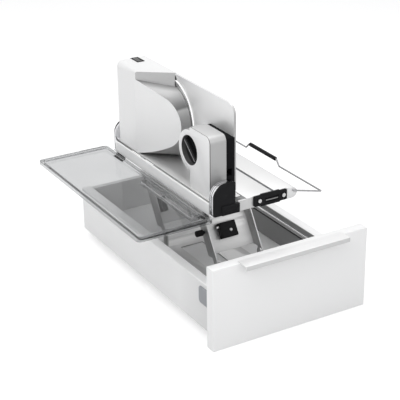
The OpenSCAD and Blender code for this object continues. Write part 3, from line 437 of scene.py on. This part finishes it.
def dome_painted_shade(m):
    """Painted shade on the dome under the housing's lip: a painted shadow in the crease, and a darker band
    across its shoulder that is a painted reflection.
    """
    tree = m.node_tree
    at, facing = placed(tree), faced(tree)
    side = combined(tree, "ABSOLUTE", facing["X"], 0.0)
    mask = combined(tree, "MULTIPLY", ranged(tree, side, 1.0, 0.0, 0.50, 0.60),
                    ranged(tree, at["Z"], 1.0, 0.0, *LIP_FADE_Z))
    mask = combined(tree, "MULTIPLY", mask, ranged(tree, facing["Y"], 1.0, 0.0, 0.3, 0.6))
    ramp = tree.nodes.new("ShaderNodeValToRGB")
    points = ramp.color_ramp.elements
    points[0].position, points[1].position = DOME_SHADES[0][0], DOME_SHADES[-1][0]
    for position, _ in DOME_SHADES[1:-1]:
        points.new(position)
    for point, (_, tone) in zip(points, DOME_SHADES):
        point.color = (*shade(tone), 1.0)
    tree.links.new(ranged(tree, at["Z"], 0.0, 1.0, *DOME_Z), ramp.inputs[0])
    reach = combined(tree, "ADD", combined(tree, "MULTIPLY", at["X"], LIP_FACING[0]),
                     combined(tree, "MULTIPLY", at["Y"], LIP_FACING[1]))
    share = combined(tree, "MULTIPLY", ramp.outputs[0], ranged(tree, reach, 0.45, 1.0, *CREASE_SHADOW))
    dim = combined(tree, "MULTIPLY", mask, combined(tree, "SUBTRACT", 1.0, share))
    return overlaid(m, shade(0.0), dim)


def smoked(name):
    """Smoked clear plastic: see-through, with fine scratches in its gloss."""
    m, tree, bsdf = new_material(name)
    scratch = noise(tree, 240.0, 4.0, 0.7, (1.0, 0.06, 1.0))
    cloud = noise(tree, 12.0, 3.0)
    tree.links.new(tinted(tree, cloud, (0.54, 0.545, 0.55), (0.59, 0.595, 0.60)),
                   bsdf.inputs["Base Color"])
    tree.links.new(ranged(tree, scratch, 0.0, 0.03, 0.4, 0.8),
                   bsdf.inputs["Roughness"])
    bsdf.inputs["Transmission Weight"].default_value = 1.0
    bsdf.inputs["IOR"].default_value = 1.25
    bsdf.inputs["Specular IOR Level"].default_value = 0.5
    bump(tree, bsdf, scratch, 0.000002)
    return m


MATERIALS = {
    "lacquered_front": lacquer("lacquered_front", shade(0.93)),
    # Painted shade on the grip's faces that look to the front
    "grip_aluminium": painted_facing_shade(brushed("grip_aluminium", shade(0.85), 0.42, "X", metal=0.25), "Y", 0.72),
    # Painted shade on the sides' inner faces and towards the front, and painted light on their top faces
    "side_paint": painted_top_light(shaded_along(inner_painted_shade(
        blasted("side_paint", shade(0.87), 0.42, metal=0.2, grain=1100.0), shade(0.27)),
        "Y", 0.78, *SIDE_SHADE_Y), shade(0.96)),
    "board": plastic("board", shade(0.70), 0.45, 700.0, 0.00004, 0.03),
    "rail_steel": brushed("rail_steel", shade(0.60), 0.32, "Y"),
    "gallery_chrome": chrome("gallery_chrome", (0.82, 0.82, 0.84), 0.10),
    "dark_plastic": plastic("dark_plastic", (0.011, 0.011, 0.012), 0.42, 1300.0, 0.00008, 0.25, 0.08),
    "grey_plastic": plastic("grey_plastic", (0.33, 0.34, 0.36), 0.5, 1000.0, 0.00006, 0.08),
    "white_plastic": plastic("white_plastic", shade(0.82), 0.4, 1000.0, 0.00004, 0.03),
    "swing_sheet": brushed("swing_sheet", shade(0.54), 0.46, "X", 300.0),
    "satin_aluminium": blasted("satin_aluminium", shade(0.74), 0.40),
    # Painted shade on the housing's faces that look to the front, a painted shadow in the crease under the lip,
    # a painted reflection band across the dome, and a painted shadow in the gap at the lip's right end
    "housing_metallic": boxed(
        dome_painted_shade(painted_facing_shade(blasted("housing_metallic", shade(0.82), 0.42, metal=0.4), "Y", 0.45)),
        shade(0.04), *LIP_GAP_SHADOW),
    "blade_steel": brushed("blade_steel", shade(0.72), 0.20, "Y", 500.0),
    "motor_metal": blasted("motor_metal", shade(0.12), 0.5, metal=0.8),
    "gear_plastic": plastic("gear_plastic", (0.66, 0.56, 0.36), 0.45, 900.0, 0.00005, 0.05),
    "smoked_clear": smoked("smoked_clear"),
    "rubber": plastic("rubber", (0.012, 0.012, 0.012), 0.7, 1600.0, 0.0001, 0.3, 0.1),
}

SPECIAL = {
    # Painted highlight on the bevel round the blade, and painted shade on the faces that look to the front
    "stop_plate": painted_facing_shade(bevel_highlight(
        blasted("stop_sheet", shade(0.82), 0.40, metal=0.35), BLADE_AXIS, BEVEL_R, shade(0.97)), "Y", 0.50),
    # Painted shade on the block's faces that look to the front and on those that look up
    "thickness_block": bored(seamed(painted_facing_shade(painted_facing_shade(
        blasted("block_metallic", shade(0.84), 0.42, metal=0.4), "Y", 0.50), "Z", 0.72, sign=1.0),
        BLOCK_SEAM_X, BLOCK_SEAM_WIDTH), KNOB_AXIS, BORE_R, 0.10),
    "near_cheek_trim": layered(chrome("trim_chrome", (0.8, 0.8, 0.82), 0.14), CHEEK_LAYER, 0.72),
    "stop_carrier": plastic("carrier_plastic", (0.008, 0.008, 0.009), 0.6, 1300.0, 0.00008, 0.25, 0.05),
    # Painted shade on the base's faces that look to the front
    "base_frame": painted_facing_shade(blasted("base_paint", shade(0.88), 0.40, metal=0.5), "Y", 0.62),
    # Painted highlight along a line on the near end cap
    "near_end_cap": boxed(plastic("cap_plastic", (0.011, 0.011, 0.012), 0.42, 1300.0, 0.00008, 0.25, 0.08),
                          shade(0.30), *CAP_HIGHLIGHT),
    "insert_strips": boxed(plastic("strip_plastic", shade(0.50), 0.45, 1000.0, 0.00006, 0.08),
                           shade(0.008), *STRIP_GROOVE),
    "gallery_rails": chrome("rail_chrome", (0.96, 0.96, 0.97), 0.12),
    # Painted highlight along the edge of the knob's bar
    "thickness_knob": bar_highlight(plastic("knob_plastic", (0.011, 0.011, 0.012), 0.35, 1300.0, 0.00006, 0.25, 0.1),
                              KNOB_AXIS, HIGHLIGHT_LEAN, HIGHLIGHT_OFF, HIGHLIGHT_HALF, HIGHLIGHT_END_X),
    "switch_rocker": plastic("rocker_plastic", shade(0.10), 0.4, 1300.0, 0.00006, 0.2, 0.2),
    # The wire's chrome gets a dark colour that stands in for the dark reflections it shows
    "bail_wire": chrome("wire_painted_dark_reflection", (0.36, 0.36, 0.37), 0.2),
}


def finish_of(node, slot):
    """A node's own finish where it has one, or else its slot's."""
    return SPECIAL.get(node, MATERIALS[slot])


for part in frame["record"]["subparts"]:
    mesh = nodes[part["node"]].data
    mesh.materials.clear()
    mesh.materials.append(finish_of(part["node"], part["material_slot"]))


# Edge radii of the CAD nodes, in millimetres
EDGE_RADIUS = {
    "drawer_front": 0.9, "grip_profile": 0.5, "drawer_floor": 0.4, "drawer_back": 0.6,
    "left_side_profile": 0.25, "right_side_profile": 0.25, "side_cover_caps": 0.4,
    "floor_frame": 0.4, "front_swing_frame": 0.4, "rear_swing_frame": 0.4,
    "latch_housing": 0.8, "latch_button": 0.4, "swing_buffer": 0.8, "rear_swing_block": 0.8,
    "base_frame": 0.4, "deck_plate": 0.5, "deck_nose_profile": 0.4, "nose_end_caps": 1.0,
    "near_end_cap": 0.6, "near_hinge_cheek": 0.8, "far_hinge_cheek": 0.8,
    "near_cheek_trim": 0.5, "far_cheek_trim": 0.5, "release_button": 0.5, "foot_plate": 0.5,
    "thickness_block": 1.6, "thickness_knob": 0.6, "stop_plate": 0.7,
    "stop_carrier": 0.8, "switch_frame": 0.3, "switch_rocker": 0.4, "tray_hooks": 0.6,
    "insert_strips": 0.3,
}


def soften(name, radius):
    """Rounds a CAD node's sharp edges."""
    obj = nodes[name]
    weld = obj.modifiers.new("weld", "WELD")
    weld.merge_threshold = 0.00002
    flat = obj.modifiers.new("flat", "DECIMATE")
    flat.decimate_type = "DISSOLVE"
    flat.angle_limit = math.radians(0.5)
    edge = obj.modifiers.new("edge", "BEVEL")
    edge.width = radius * MM
    edge.segments = 3
    edge.limit_method = "ANGLE"
    edge.angle_limit = math.radians(35.0)
    edge.use_clamp_overlap = True
    obj.data.polygons.foreach_set("use_smooth", [True] * len(obj.data.polygons))


for name, radius in EDGE_RADIUS.items():
    soften(name, radius)


# Helpers for the pieces made here
def add_piece(name, bm, node, slot, sharp=50.0, flat_over=math.inf, recalc=True):
    """Turns a bmesh into a smooth piece in a CAD node's place; faces over flat_over mm2 stay flat."""
    if recalc:
        bmesh.ops.recalc_face_normals(bm, faces=bm.faces)
    mesh = bpy.data.meshes.new(name)
    bm.to_mesh(mesh)
    bm.free()
    mesh.materials.append(finish_of(node, slot))
    mesh.polygons.foreach_set("use_smooth", [face.area < flat_over * MM * MM for face in mesh.polygons])
    mesh.set_sharp_from_angle(angle=math.radians(sharp))
    obj = bpy.data.objects.new(name, mesh)
    weighted = obj.modifiers.new("normals", "WEIGHTED_NORMAL")
    weighted.keep_sharp = True
    bpy.context.scene.collection.objects.link(obj)
    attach(obj, body_of(nodes[node])[0])
    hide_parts(node)
    return obj


def add_loop(bm, points):
    """Vertices of one ring, from points in the drawer's millimetres."""
    return [bm.verts.new(drawer_point(*p)) for p in points]


def bridge(bm, first, second):
    """Quads between two rings of the same length."""
    count = len(first)
    for i in range(count):
        j = (i + 1) % count
        bm.faces.new((first[i], first[j], second[j], second[i]))


def loft(bm, rings, caps=True):
    """Skin over rings of points, closed at both ends if caps is set; returns the rings."""
    loops = [add_loop(bm, ring) for ring in rings]
    for first, second in zip(loops, loops[1:]):
        bridge(bm, first, second)
    if caps:
        bm.faces.new(loops[0])
        bm.faces.new(loops[-1])
    return loops


def round_rect(x0, y0, x1, y1, r, z, steps=6):
    """Ring of a rectangle with round corners at height z."""
    ring = []
    corners = ((x1 - r, y0 + r, -90.0), (x1 - r, y1 - r, 0.0), (x0 + r, y1 - r, 90.0), (x0 + r, y0 + r, 180.0))
    for cx, cy, start in corners:
        for i in range(steps + 1):
            a = math.radians(start + 90.0 * i / steps)
            ring.append((cx + r * math.cos(a), cy + r * math.sin(a), z))
    return ring


def fill(bm, *loops):
    """Flat face inside the first ring with the other rings as holes."""
    edges = []
    for loop in loops:
        for i, v in enumerate(loop):
            w = loop[(i + 1) % len(loop)]
            edges.append(bm.edges.get((v, w)) or bm.edges.new((v, w)))
    bmesh.ops.triangle_fill(bm, use_beauty=True, use_dissolve=False, edges=edges)


def lathe(bm, x, y, z, profile, steps=40):
    """Turned solid on an axis along Y: profile is (distance from y, radius) pairs, closed at both ends."""
    loft(bm, [[(x + radius * math.sin(a), y + along, z + radius * math.cos(a)) for a in turn_angles(steps)]
              for along, radius in profile])


def rounded_path(points, radius, steps=7):
    """Route through points with its corners rounded."""
    route = [Vector(points[0])]
    for before, at, after in zip(points, points[1:], points[2:]):
        at = Vector(at)
        back, ahead = Vector(before) - at, Vector(after) - at
        turn = back.angle(ahead)
        cut = min(radius / math.tan(turn / 2.0), 0.45 * min(back.length, ahead.length))
        start, end = at + back.normalized() * cut, at + ahead.normalized() * cut
        for i in range(steps + 1):
            t = i / steps
            route.append(start * (1.0 - t) ** 2 + at * 2.0 * t * (1.0 - t) + end * t ** 2)
    route.append(Vector(points[-1]))
    return route


def tube(bm, route, radius, steps=14):
    """Round bar along a route; its ring keeps the same twist all the way."""
    side = Vector((0.0, 0.0, 1.0))
    rings = []
    for i, at in enumerate(route):
        ahead = (route[min(i + 1, len(route) - 1)] - route[max(i - 1, 0)]).normalized()
        side = (side - ahead * side.dot(ahead)).normalized()
        other = ahead.cross(side)
        rings.append([tuple(at + (side * math.cos(a) + other * math.sin(a)) * radius)
                      for a in turn_angles(steps)])
    loft(bm, rings)


# Slice tray
TRAY_RIM, TRAY_SKIRT, TRAY_WALL, TRAY_FLOOR = 8.0, 1.6, 2.0, 2.0
TRAY_CORNER, TRAY_H = 7.0, 6.5
RIB_AT, RIB_SIZE, RIB_DEEP, RIB_WALL = (20.0, 98.0), (15.7, 175.0), 6.0, 2.0
POST_AT, POST_R, POST_LEN = (29.5, 118.0), 3.0, 11.0


def slice_tray():
    """Thin shell with a rolled rim, a skirt, a channel underneath and a post."""
    low, high = drawer_box("slice_tray")
    top = high.z
    under = top - TRAY_H
    floor = under + TRAY_FLOOR
    edge, soft = 0.8, 0.25
    inner = TRAY_RIM - TRAY_WALL

    def ring(inset, z):
        radius = max(TRAY_CORNER - 0.25 * inset, 5.0)
        return round_rect(low.x + inset, low.y + inset, high.x - inset, high.y - inset, radius, z)

    bm = bmesh.new()
    loops = loft(bm, [
        ring(inner + edge, under), ring(inner + soft, under + soft), ring(inner, under + edge),
        ring(inner, top - TRAY_SKIRT), ring(TRAY_SKIRT, top - TRAY_SKIRT), ring(TRAY_SKIRT, under + soft),
        ring(TRAY_SKIRT - soft, under), ring(soft, under), ring(0.0, under + soft),
        ring(0.0, top - edge), ring(soft, top - soft), ring(edge, top),
        ring(TRAY_RIM - edge, top), ring(TRAY_RIM - soft, top - soft), ring(TRAY_RIM, top - edge),
        ring(TRAY_RIM, floor + edge), ring(TRAY_RIM + soft, floor + soft), ring(TRAY_RIM + edge, floor),
    ], caps=False)
    bm.faces.new(loops[-1])
    (rx, ry), (rw, rl), bottom = RIB_AT, RIB_SIZE, under - RIB_DEEP

    def wall(inset, radius, z):
        return round_rect(rx + inset, ry + inset, rx + rw - inset, ry + rl - inset, radius, z)

    channel = loft(bm, [
        wall(0.0, 1.5, under), wall(0.0, 1.5, bottom + soft), wall(soft, 1.25, bottom),
        wall(RIB_WALL - soft, 1.0, bottom), wall(RIB_WALL, 0.9, bottom + soft), wall(RIB_WALL, 0.9, under),
    ], caps=False)

    def disc(radius, z):
        return [(POST_AT[0] + radius * math.cos(a), POST_AT[1] + radius * math.sin(a), z)
                for a in turn_angles(24)]

    post = loft(bm, [disc(POST_R, under), disc(POST_R, under - POST_LEN + edge),
                     disc(POST_R - soft, under - POST_LEN + soft), disc(POST_R - edge, under - POST_LEN)],
                caps=False)
    bm.faces.new(post[-1])
    fill(bm, loops[0], channel[0])
    fill(bm, channel[-1], post[0])
    add_piece("tray_shell", bm, "slice_tray", "smoked_clear", flat_over=20.0)


slice_tray()


# Bail handle
WIRE_R, WIRE_BEND = 1.4, 4.0
BAIL_X, BAIL_TIP_X, BAIL_Z, BAIL_TIP_Z = 191.5, 248.0, 210.535, 196.035
JOG_Y, JOG_TOP_Y, JOG_UP = (189.0, 294.0), (197.0, 284.0), 10.0
BAIL_END_Y = (76.0, 406.0)


def bail():
    """Bent wire with round bends, and a turned grip over its raised middle."""
    low, high = drawer_box("bail_wire")
    near, far = low.y + WIRE_R, high.y - WIRE_R
    up = BAIL_TIP_Z + JOG_UP
    bm = bmesh.new()
    tube(bm, rounded_path([
        (BAIL_X, BAIL_END_Y[0], BAIL_Z), (BAIL_X, near, BAIL_Z), (BAIL_TIP_X, near, BAIL_TIP_Z),
        (BAIL_TIP_X, JOG_Y[0], BAIL_TIP_Z), (BAIL_TIP_X, JOG_TOP_Y[0], up), (BAIL_TIP_X, JOG_TOP_Y[1], up),
        (BAIL_TIP_X, JOG_Y[1], BAIL_TIP_Z), (BAIL_TIP_X, far, BAIL_TIP_Z), (BAIL_X, far, BAIL_Z),
        (BAIL_X, BAIL_END_Y[1], BAIL_Z)], WIRE_BEND), WIRE_R)
    add_piece("bail_bent_wire", bm, "bail_wire", "gallery_chrome")

    low, high = drawer_box("bail_grip")
    length, outer = high.y - low.y, (high.x - low.x) / 2.0
    bore, lip, soft = WIRE_R + 0.1, 0.6, 0.2
    ring_at, ring_width, groove = 3.0, 1.0, outer - 0.5
    profile = [(0.0, bore), (0.0, outer - lip), (soft, outer - soft), (lip, outer)]
    for at in (ring_at, length - ring_at - ring_width):
        profile += [(at, outer), (at + 0.25 * ring_width, groove), (at + 0.75 * ring_width, groove),
                    (at + ring_width, outer)]
    profile += [(length - lip, outer), (length - soft, outer - soft), (length, outer - lip), (length, bore)]
    bm = bmesh.new()
    lathe(bm, (low.x + high.x) / 2.0, low.y, (low.z + high.z) / 2.0, profile)
    add_piece("bail_grip_sleeve", bm, "bail_grip", "dark_plastic")


bail()


# Motor housing
HOUSING_LOW, HOUSING_HIGH = drawer_box("motor_housing")
LEFT_X, BACK_Y, FOOT_Z, TOP_Z = HOUSING_LOW.x, HOUSING_HIGH.y, HOUSING_LOW.z, HOUSING_HIGH.z
AXIS_Y, AXIS_Z = 302.0, 279.5
# Ends of the lip seen from above, and the height of its lower edge at each end
LIP_LEFT, LIP_RIGHT = (LEFT_X, 330.0), (104.0, 287.0)
LIP_LOW_LEFT, LIP_LOW_RIGHT = 349.4, 338.1
SLANT = 34.0 / 99.0
# Roundings: the upright back corner, then the top's left edge at lip and back, and its back edge
BACK_R, TOP_R_NEAR, TOP_R_FAR, TOP_R_BACK, TOP_R_PULL = 9.0, 3.0, 13.0, 4.0, 0.4
# Scoop's arc on the slanted face: its middle in Y and Z, its radius and the angle where the wider arc begins
SCOOP_MIDDLE, SCOOP_R, SCOOP_TURN, SCOOP_STEPS = (280.0, 286.0), 46.5, math.radians(240.0), 60
# Blade pocket, and the scoop's edge round it: angles in degrees from straight up towards the front
POCKET_X, POCKET_R, POCKET_END, HUB_R = 101.8, 71.6, -152.4, 16.0
FLOOR_R_TOP, FLOOR_R, FLOOR_R_EASE, FLOOR_FROM, FLOOR_TO = 61.5, 66.0, 60.0, 11.8, 164.1
SWITCH_INSET, SHELL_WALL, SHELL_EDGE, SHELL_SHARP = 0.8, 1.8, 0.9, 32.0


def on_slant(y):
    """x of the slanted front face at y."""
    return LEFT_X + (LIP_LEFT[1] - y) * SLANT


def on_lip(x):
    """y of the lip's plane at x."""
    return LIP_LEFT[1] + (x - LEFT_X) * (LIP_RIGHT[1] - LIP_LEFT[1]) / (LIP_RIGHT[0] - LEFT_X)


def pocket_place(x, y):
    """Place on the upper half of the pocket's wall, and its angle from straight up in degrees."""
    rise = math.sqrt(POCKET_R ** 2 - (AXIS_Y - y) ** 2)
    return (x, y, AXIS_Z + rise), math.degrees(math.acos(rise / POCKET_R))


def rim_point(x, radius, degrees):
    """Point round the blade's axis; the angle runs from straight up towards the front."""
    a = math.radians(degrees)
    return (x, AXIS_Y - radius * math.sin(a), AXIS_Z + radius * math.cos(a))


def grid(bm, rows):
    """Quads over rows of points."""
    lines = [add_loop(bm, row) for row in rows]
    for first, second in zip(lines, lines[1:]):
        for i in range(len(first) - 1):
            bm.faces.new((first[i], first[i + 1], second[i + 1], second[i]))


def arc(centre, radius, first, last, count=24):
    """Points of an arc, from one angle to another."""
    angles = [first + (last - first) * k / count for k in range(count + 1)]
    return [centre + Vector((math.cos(a), math.sin(a))) * radius for a in angles]


def spread(points, count):
    """count + 1 points spread evenly along a route through points."""
    at = [0.0]
    for p, q in zip(points, points[1:]):
        at.append(at[-1] + (q - p).length)
    route, i = [], 0
    for k in range(count + 1):
        want = at[-1] * k / count
        while i < len(points) - 2 and at[i + 1] < want:
            i += 1
        route.append(points[i].lerp(points[i + 1], min((want - at[i]) / (at[i + 1] - at[i]), 1.0)))
    return route


def scoop_edge():
    """Scoop's edge on the slanted face: straight, then an arc, then a wider arc that meets it smoothly."""
    start, end = Vector((LIP_LEFT[1], LIP_LOW_LEFT)), Vector((LIP_LEFT[1], FOOT_Z))
    middle = Vector(SCOOP_MIDDLE)
    reach = start - middle
    first = math.atan2(reach.y, reach.x) + math.acos(SCOOP_R / reach.length)
    bend = arc(middle, SCOOP_R, first, SCOOP_TURN)
    inward, gap = (middle - bend[-1]).normalized(), bend[-1] - end
    wide_r = -gap.length_squared / (2.0 * inward.dot(gap))
    wide_middle = bend[-1] + inward * wide_r
    fall = end - wide_middle
    low = arc(wide_middle, wide_r, SCOOP_TURN, math.atan2(fall.y, fall.x) + 2.0 * math.pi)
    return [Vector((on_slant(y), y, z)) for y, z in spread([start] + bend + low[1:-1] + [end], SCOOP_STEPS)]


def scoop_floor():
    """Scoop's edge round the blade, which runs a little closer to the axis under the lip."""
    points = []
    for k in range(SCOOP_STEPS + 1):
        a = FLOOR_FROM + (FLOOR_TO - FLOOR_FROM) * k / SCOOP_STEPS
        grown = min(1.0, (a - FLOOR_FROM) / FLOOR_R_EASE)
        points.append(Vector(rim_point(POCKET_X, FLOOR_R_TOP + (FLOOR_R - FLOOR_R_TOP) * grown, a)))
    points[0] = Vector((POCKET_X, on_lip(POCKET_X), LIP_LOW_RIGHT))
    points[-1].z = FOOT_Z
    return points


def top_edge():
    """Outline of the left and back walls, the same line where the top begins, and the rounding between."""
    path, inner, radii = [], [], []
    for k in range(9):
        t = k / 8.0
        y, r = LIP_LEFT[1] + (BACK_Y - BACK_R - LIP_LEFT[1]) * t, TOP_R_NEAR + (TOP_R_FAR - TOP_R_NEAR) * t
        path.append((LEFT_X, y))
        inner.append((LEFT_X + r, on_lip(LEFT_X + r) if k == 0 else y))
        radii.append(r)
    for k in range(1, 9):
        t, a = k / 8.0, math.radians(180.0 - 90.0 * k / 8.0)
        path.append((LEFT_X + BACK_R + BACK_R * math.cos(a), BACK_Y - BACK_R + BACK_R * math.sin(a)))
        inner.append((LEFT_X + TOP_R_FAR + TOP_R_PULL * t, BACK_Y - BACK_R + (BACK_R - TOP_R_BACK) * t))
        radii.append(TOP_R_FAR + (TOP_R_BACK - TOP_R_FAR) * t)
    (path_x, _), (inner_x, _) = path[-1], inner[-1]
    for k in range(1, 5):
        t = k / 4.0
        path.append((path_x + (LIP_RIGHT[0] - path_x) * t, BACK_Y))
        inner.append((inner_x + (LIP_RIGHT[0] - inner_x) * t, BACK_Y - TOP_R_BACK))
        radii.append(TOP_R_BACK)
    return path, inner, radii


def motor_shell():
    """Outer skin of the housing with its lip, scoop and blade pocket, given a wall inwards."""
    bm = bmesh.new()
    path, inner, radii = top_edge()
    rows = [[(x, y, z) for x, y in path] for z in (FOOT_Z, LIP_LOW_LEFT)]
    for k in range(9):
        a = math.radians(90.0 * k / 8.0)
        rows.append([(x + (u - x) * (1.0 - math.cos(a)), y + (v - y) * (1.0 - math.cos(a)),
                      TOP_Z - r * (1.0 - math.sin(a))) for (x, y), (u, v), r in zip(path, inner, radii)])
    grid(bm, rows)

    lip_corner = (*LIP_RIGHT, TOP_Z)
    rim = scoop_floor()
    outer_place, outer_from = pocket_place(*LIP_RIGHT)
    inner_place, inner_from = pocket_place(POCKET_X, on_lip(POCKET_X))
    bm.faces.new(add_loop(bm, [row[0] for row in rows[1:]] + [lip_corner, outer_place, inner_place, rim[0]]))

    low, high = drawer_box("switch_frame")
    top = add_loop(bm, [(u, v, TOP_Z) for u, v in inner] + [lip_corner])
    opening = add_loop(bm, [(low.x + SWITCH_INSET, low.y + SWITCH_INSET, TOP_Z),
                            (high.x - SWITCH_INSET, low.y + SWITCH_INSET, TOP_Z),
                            (high.x - SWITCH_INSET, high.y - SWITCH_INSET, TOP_Z),
                            (low.x + SWITCH_INSET, high.y - SWITCH_INSET, TOP_Z)])
    fill(bm, top, opening)

    edge = scoop_edge()
    bm.faces.new(add_loop(bm, edge))
    grid(bm, [[p.lerp(q, k / 10.0) for p, q in zip(edge, rim)] for k in range(11)])

    arcs = []
    for x, begin in ((LIP_RIGHT[0], outer_from), (POCKET_X, inner_from)):
        arcs.append([rim_point(x, POCKET_R, begin + (POCKET_END - begin) * k / 40.0) for k in range(41)])
        arcs[-1][-1] = (x, arcs[-1][-1][1], FOOT_Z)
    grid(bm, arcs)
    fill(bm, add_loop(bm, [row[-1] for row in rows] + [lip_corner] + arcs[0]))
    hub = add_loop(bm, [rim_point(POCKET_X, HUB_R, math.degrees(a)) for a in turn_angles(40)])
    fill(bm, add_loop(bm, arcs[1] + rim[::-1]), hub)

    bmesh.ops.remove_doubles(bm, verts=bm.verts, dist=0.02 * MM)
    bmesh.ops.recalc_face_normals(bm, faces=bm.faces)
    left_wall = min(bm.faces, key=lambda face: face.calc_center_median().x)
    if left_wall.normal.x > 0.0:
        bmesh.ops.reverse_faces(bm, faces=bm.faces)
    obj = add_piece("motor_shell", bm, "motor_housing", "housing_metallic", sharp=SHELL_SHARP, recalc=False)
    wall = obj.modifiers.new("wall", "SOLIDIFY")
    wall.thickness = SHELL_WALL * MM
    wall.offset = -1.0
    edge = obj.modifiers.new("edge", "BEVEL")
    edge.width = SHELL_EDGE * MM
    edge.segments = 3
    edge.limit_method = "ANGLE"
    edge.angle_limit = math.radians(SHELL_SHARP)
    normals = obj.modifiers.new("normals_after", "WEIGHTED_NORMAL")
    normals.keep_sharp = True


motor_shell()


# Light and floor
def add_area(name, at, towards, size, power):
    """Square-edged lamp of power watts at a place, turned towards another."""
    data = bpy.data.lights.new(name, "AREA")
    data.shape = "RECTANGLE"
    data.size, data.size_y = size
    data.energy = power
    lamp = bpy.data.objects.new(name, data)
    lamp.location = at
    lamp.rotation_euler = (Vector(towards) - Vector(at)).to_track_quat("-Z", "Y").to_euler()
    bpy.context.scene.collection.objects.link(lamp)


def seen_directly(tree):
    """One for camera, glossy and transmission rays, which all see the plain white."""
    path = tree.nodes.new("ShaderNodeLightPath")
    total = path.outputs["Is Camera Ray"]
    for name in ("Is Glossy Ray", "Is Transmission Ray"):
        total = combined(tree, "MAXIMUM", total, path.outputs[name])
    return total


def add_world():
    """Soft room light, and plain white where it is seen."""
    world = bpy.data.worlds.new("studio")
    bpy.context.scene.world = world
    world.use_nodes = True
    tree = world.node_tree
    tree.nodes.clear()
    out = tree.nodes.new("ShaderNodeOutputWorld")
    soft = tree.nodes.new("ShaderNodeBackground")
    soft.inputs["Color"].default_value = (0.955, 0.96, 0.97, 1.0)
    soft.inputs["Strength"].default_value = 0.50
    white = tree.nodes.new("ShaderNodeBackground")
    white.inputs["Color"].default_value = (1.0, 1.0, 1.0, 1.0)
    white.inputs["Strength"].default_value = 1.0
    mix = tree.nodes.new("ShaderNodeMixShader")
    tree.links.new(seen_directly(tree), mix.inputs[0])
    tree.links.new(soft.outputs[0], mix.inputs[1])
    tree.links.new(white.outputs[0], mix.inputs[2])
    tree.links.new(mix.outputs[0], out.inputs[0])


def add_floor():
    """Plain pale floor just under the object, white where it is seen, with its shadow."""
    half, gap, lift = 4.0, 0.0005, 0.50
    z = cad_box[0][2] - gap
    mesh = bpy.data.meshes.new("floor")
    mesh.from_pydata([(-half, -half, z), (half, -half, z), (half, half, z), (-half, half, z)],
                     [], [(0, 1, 2, 3)])
    floor = bpy.data.objects.new("floor", mesh)
    bpy.context.scene.collection.objects.link(floor)
    m, tree, bsdf = new_material("floor")
    cloud = noise(tree, 3.0, 4.0)
    tree.links.new(tinted(tree, cloud, shade(0.67), shade(0.70)),
                   bsdf.inputs["Base Color"])
    bsdf.inputs["Roughness"].default_value = 0.9
    bsdf.inputs["Specular IOR Level"].default_value = 0.1
    bsdf.inputs["Emission Color"].default_value = (1.0, 1.0, 1.0, 1.0)
    tree.links.new(combined(tree, "MULTIPLY", seen_directly(tree), lift), bsdf.inputs["Emission Strength"])
    mesh.materials.append(m)


add_world()
add_floor()
add_area("key", (-1.3, -0.5, 1.9), (0.0, 0.0, 0.15), (2.0, 2.0), 25.0)
add_area("front", (0.5, -2.0, 1.1), (0.0, 0.0, 0.1), (2.2, 1.4), 11.0)
add_area("top", (0.3, 0.5, 2.2), (0.0, 0.0, 0.1), (2.0, 2.0), 12.0)
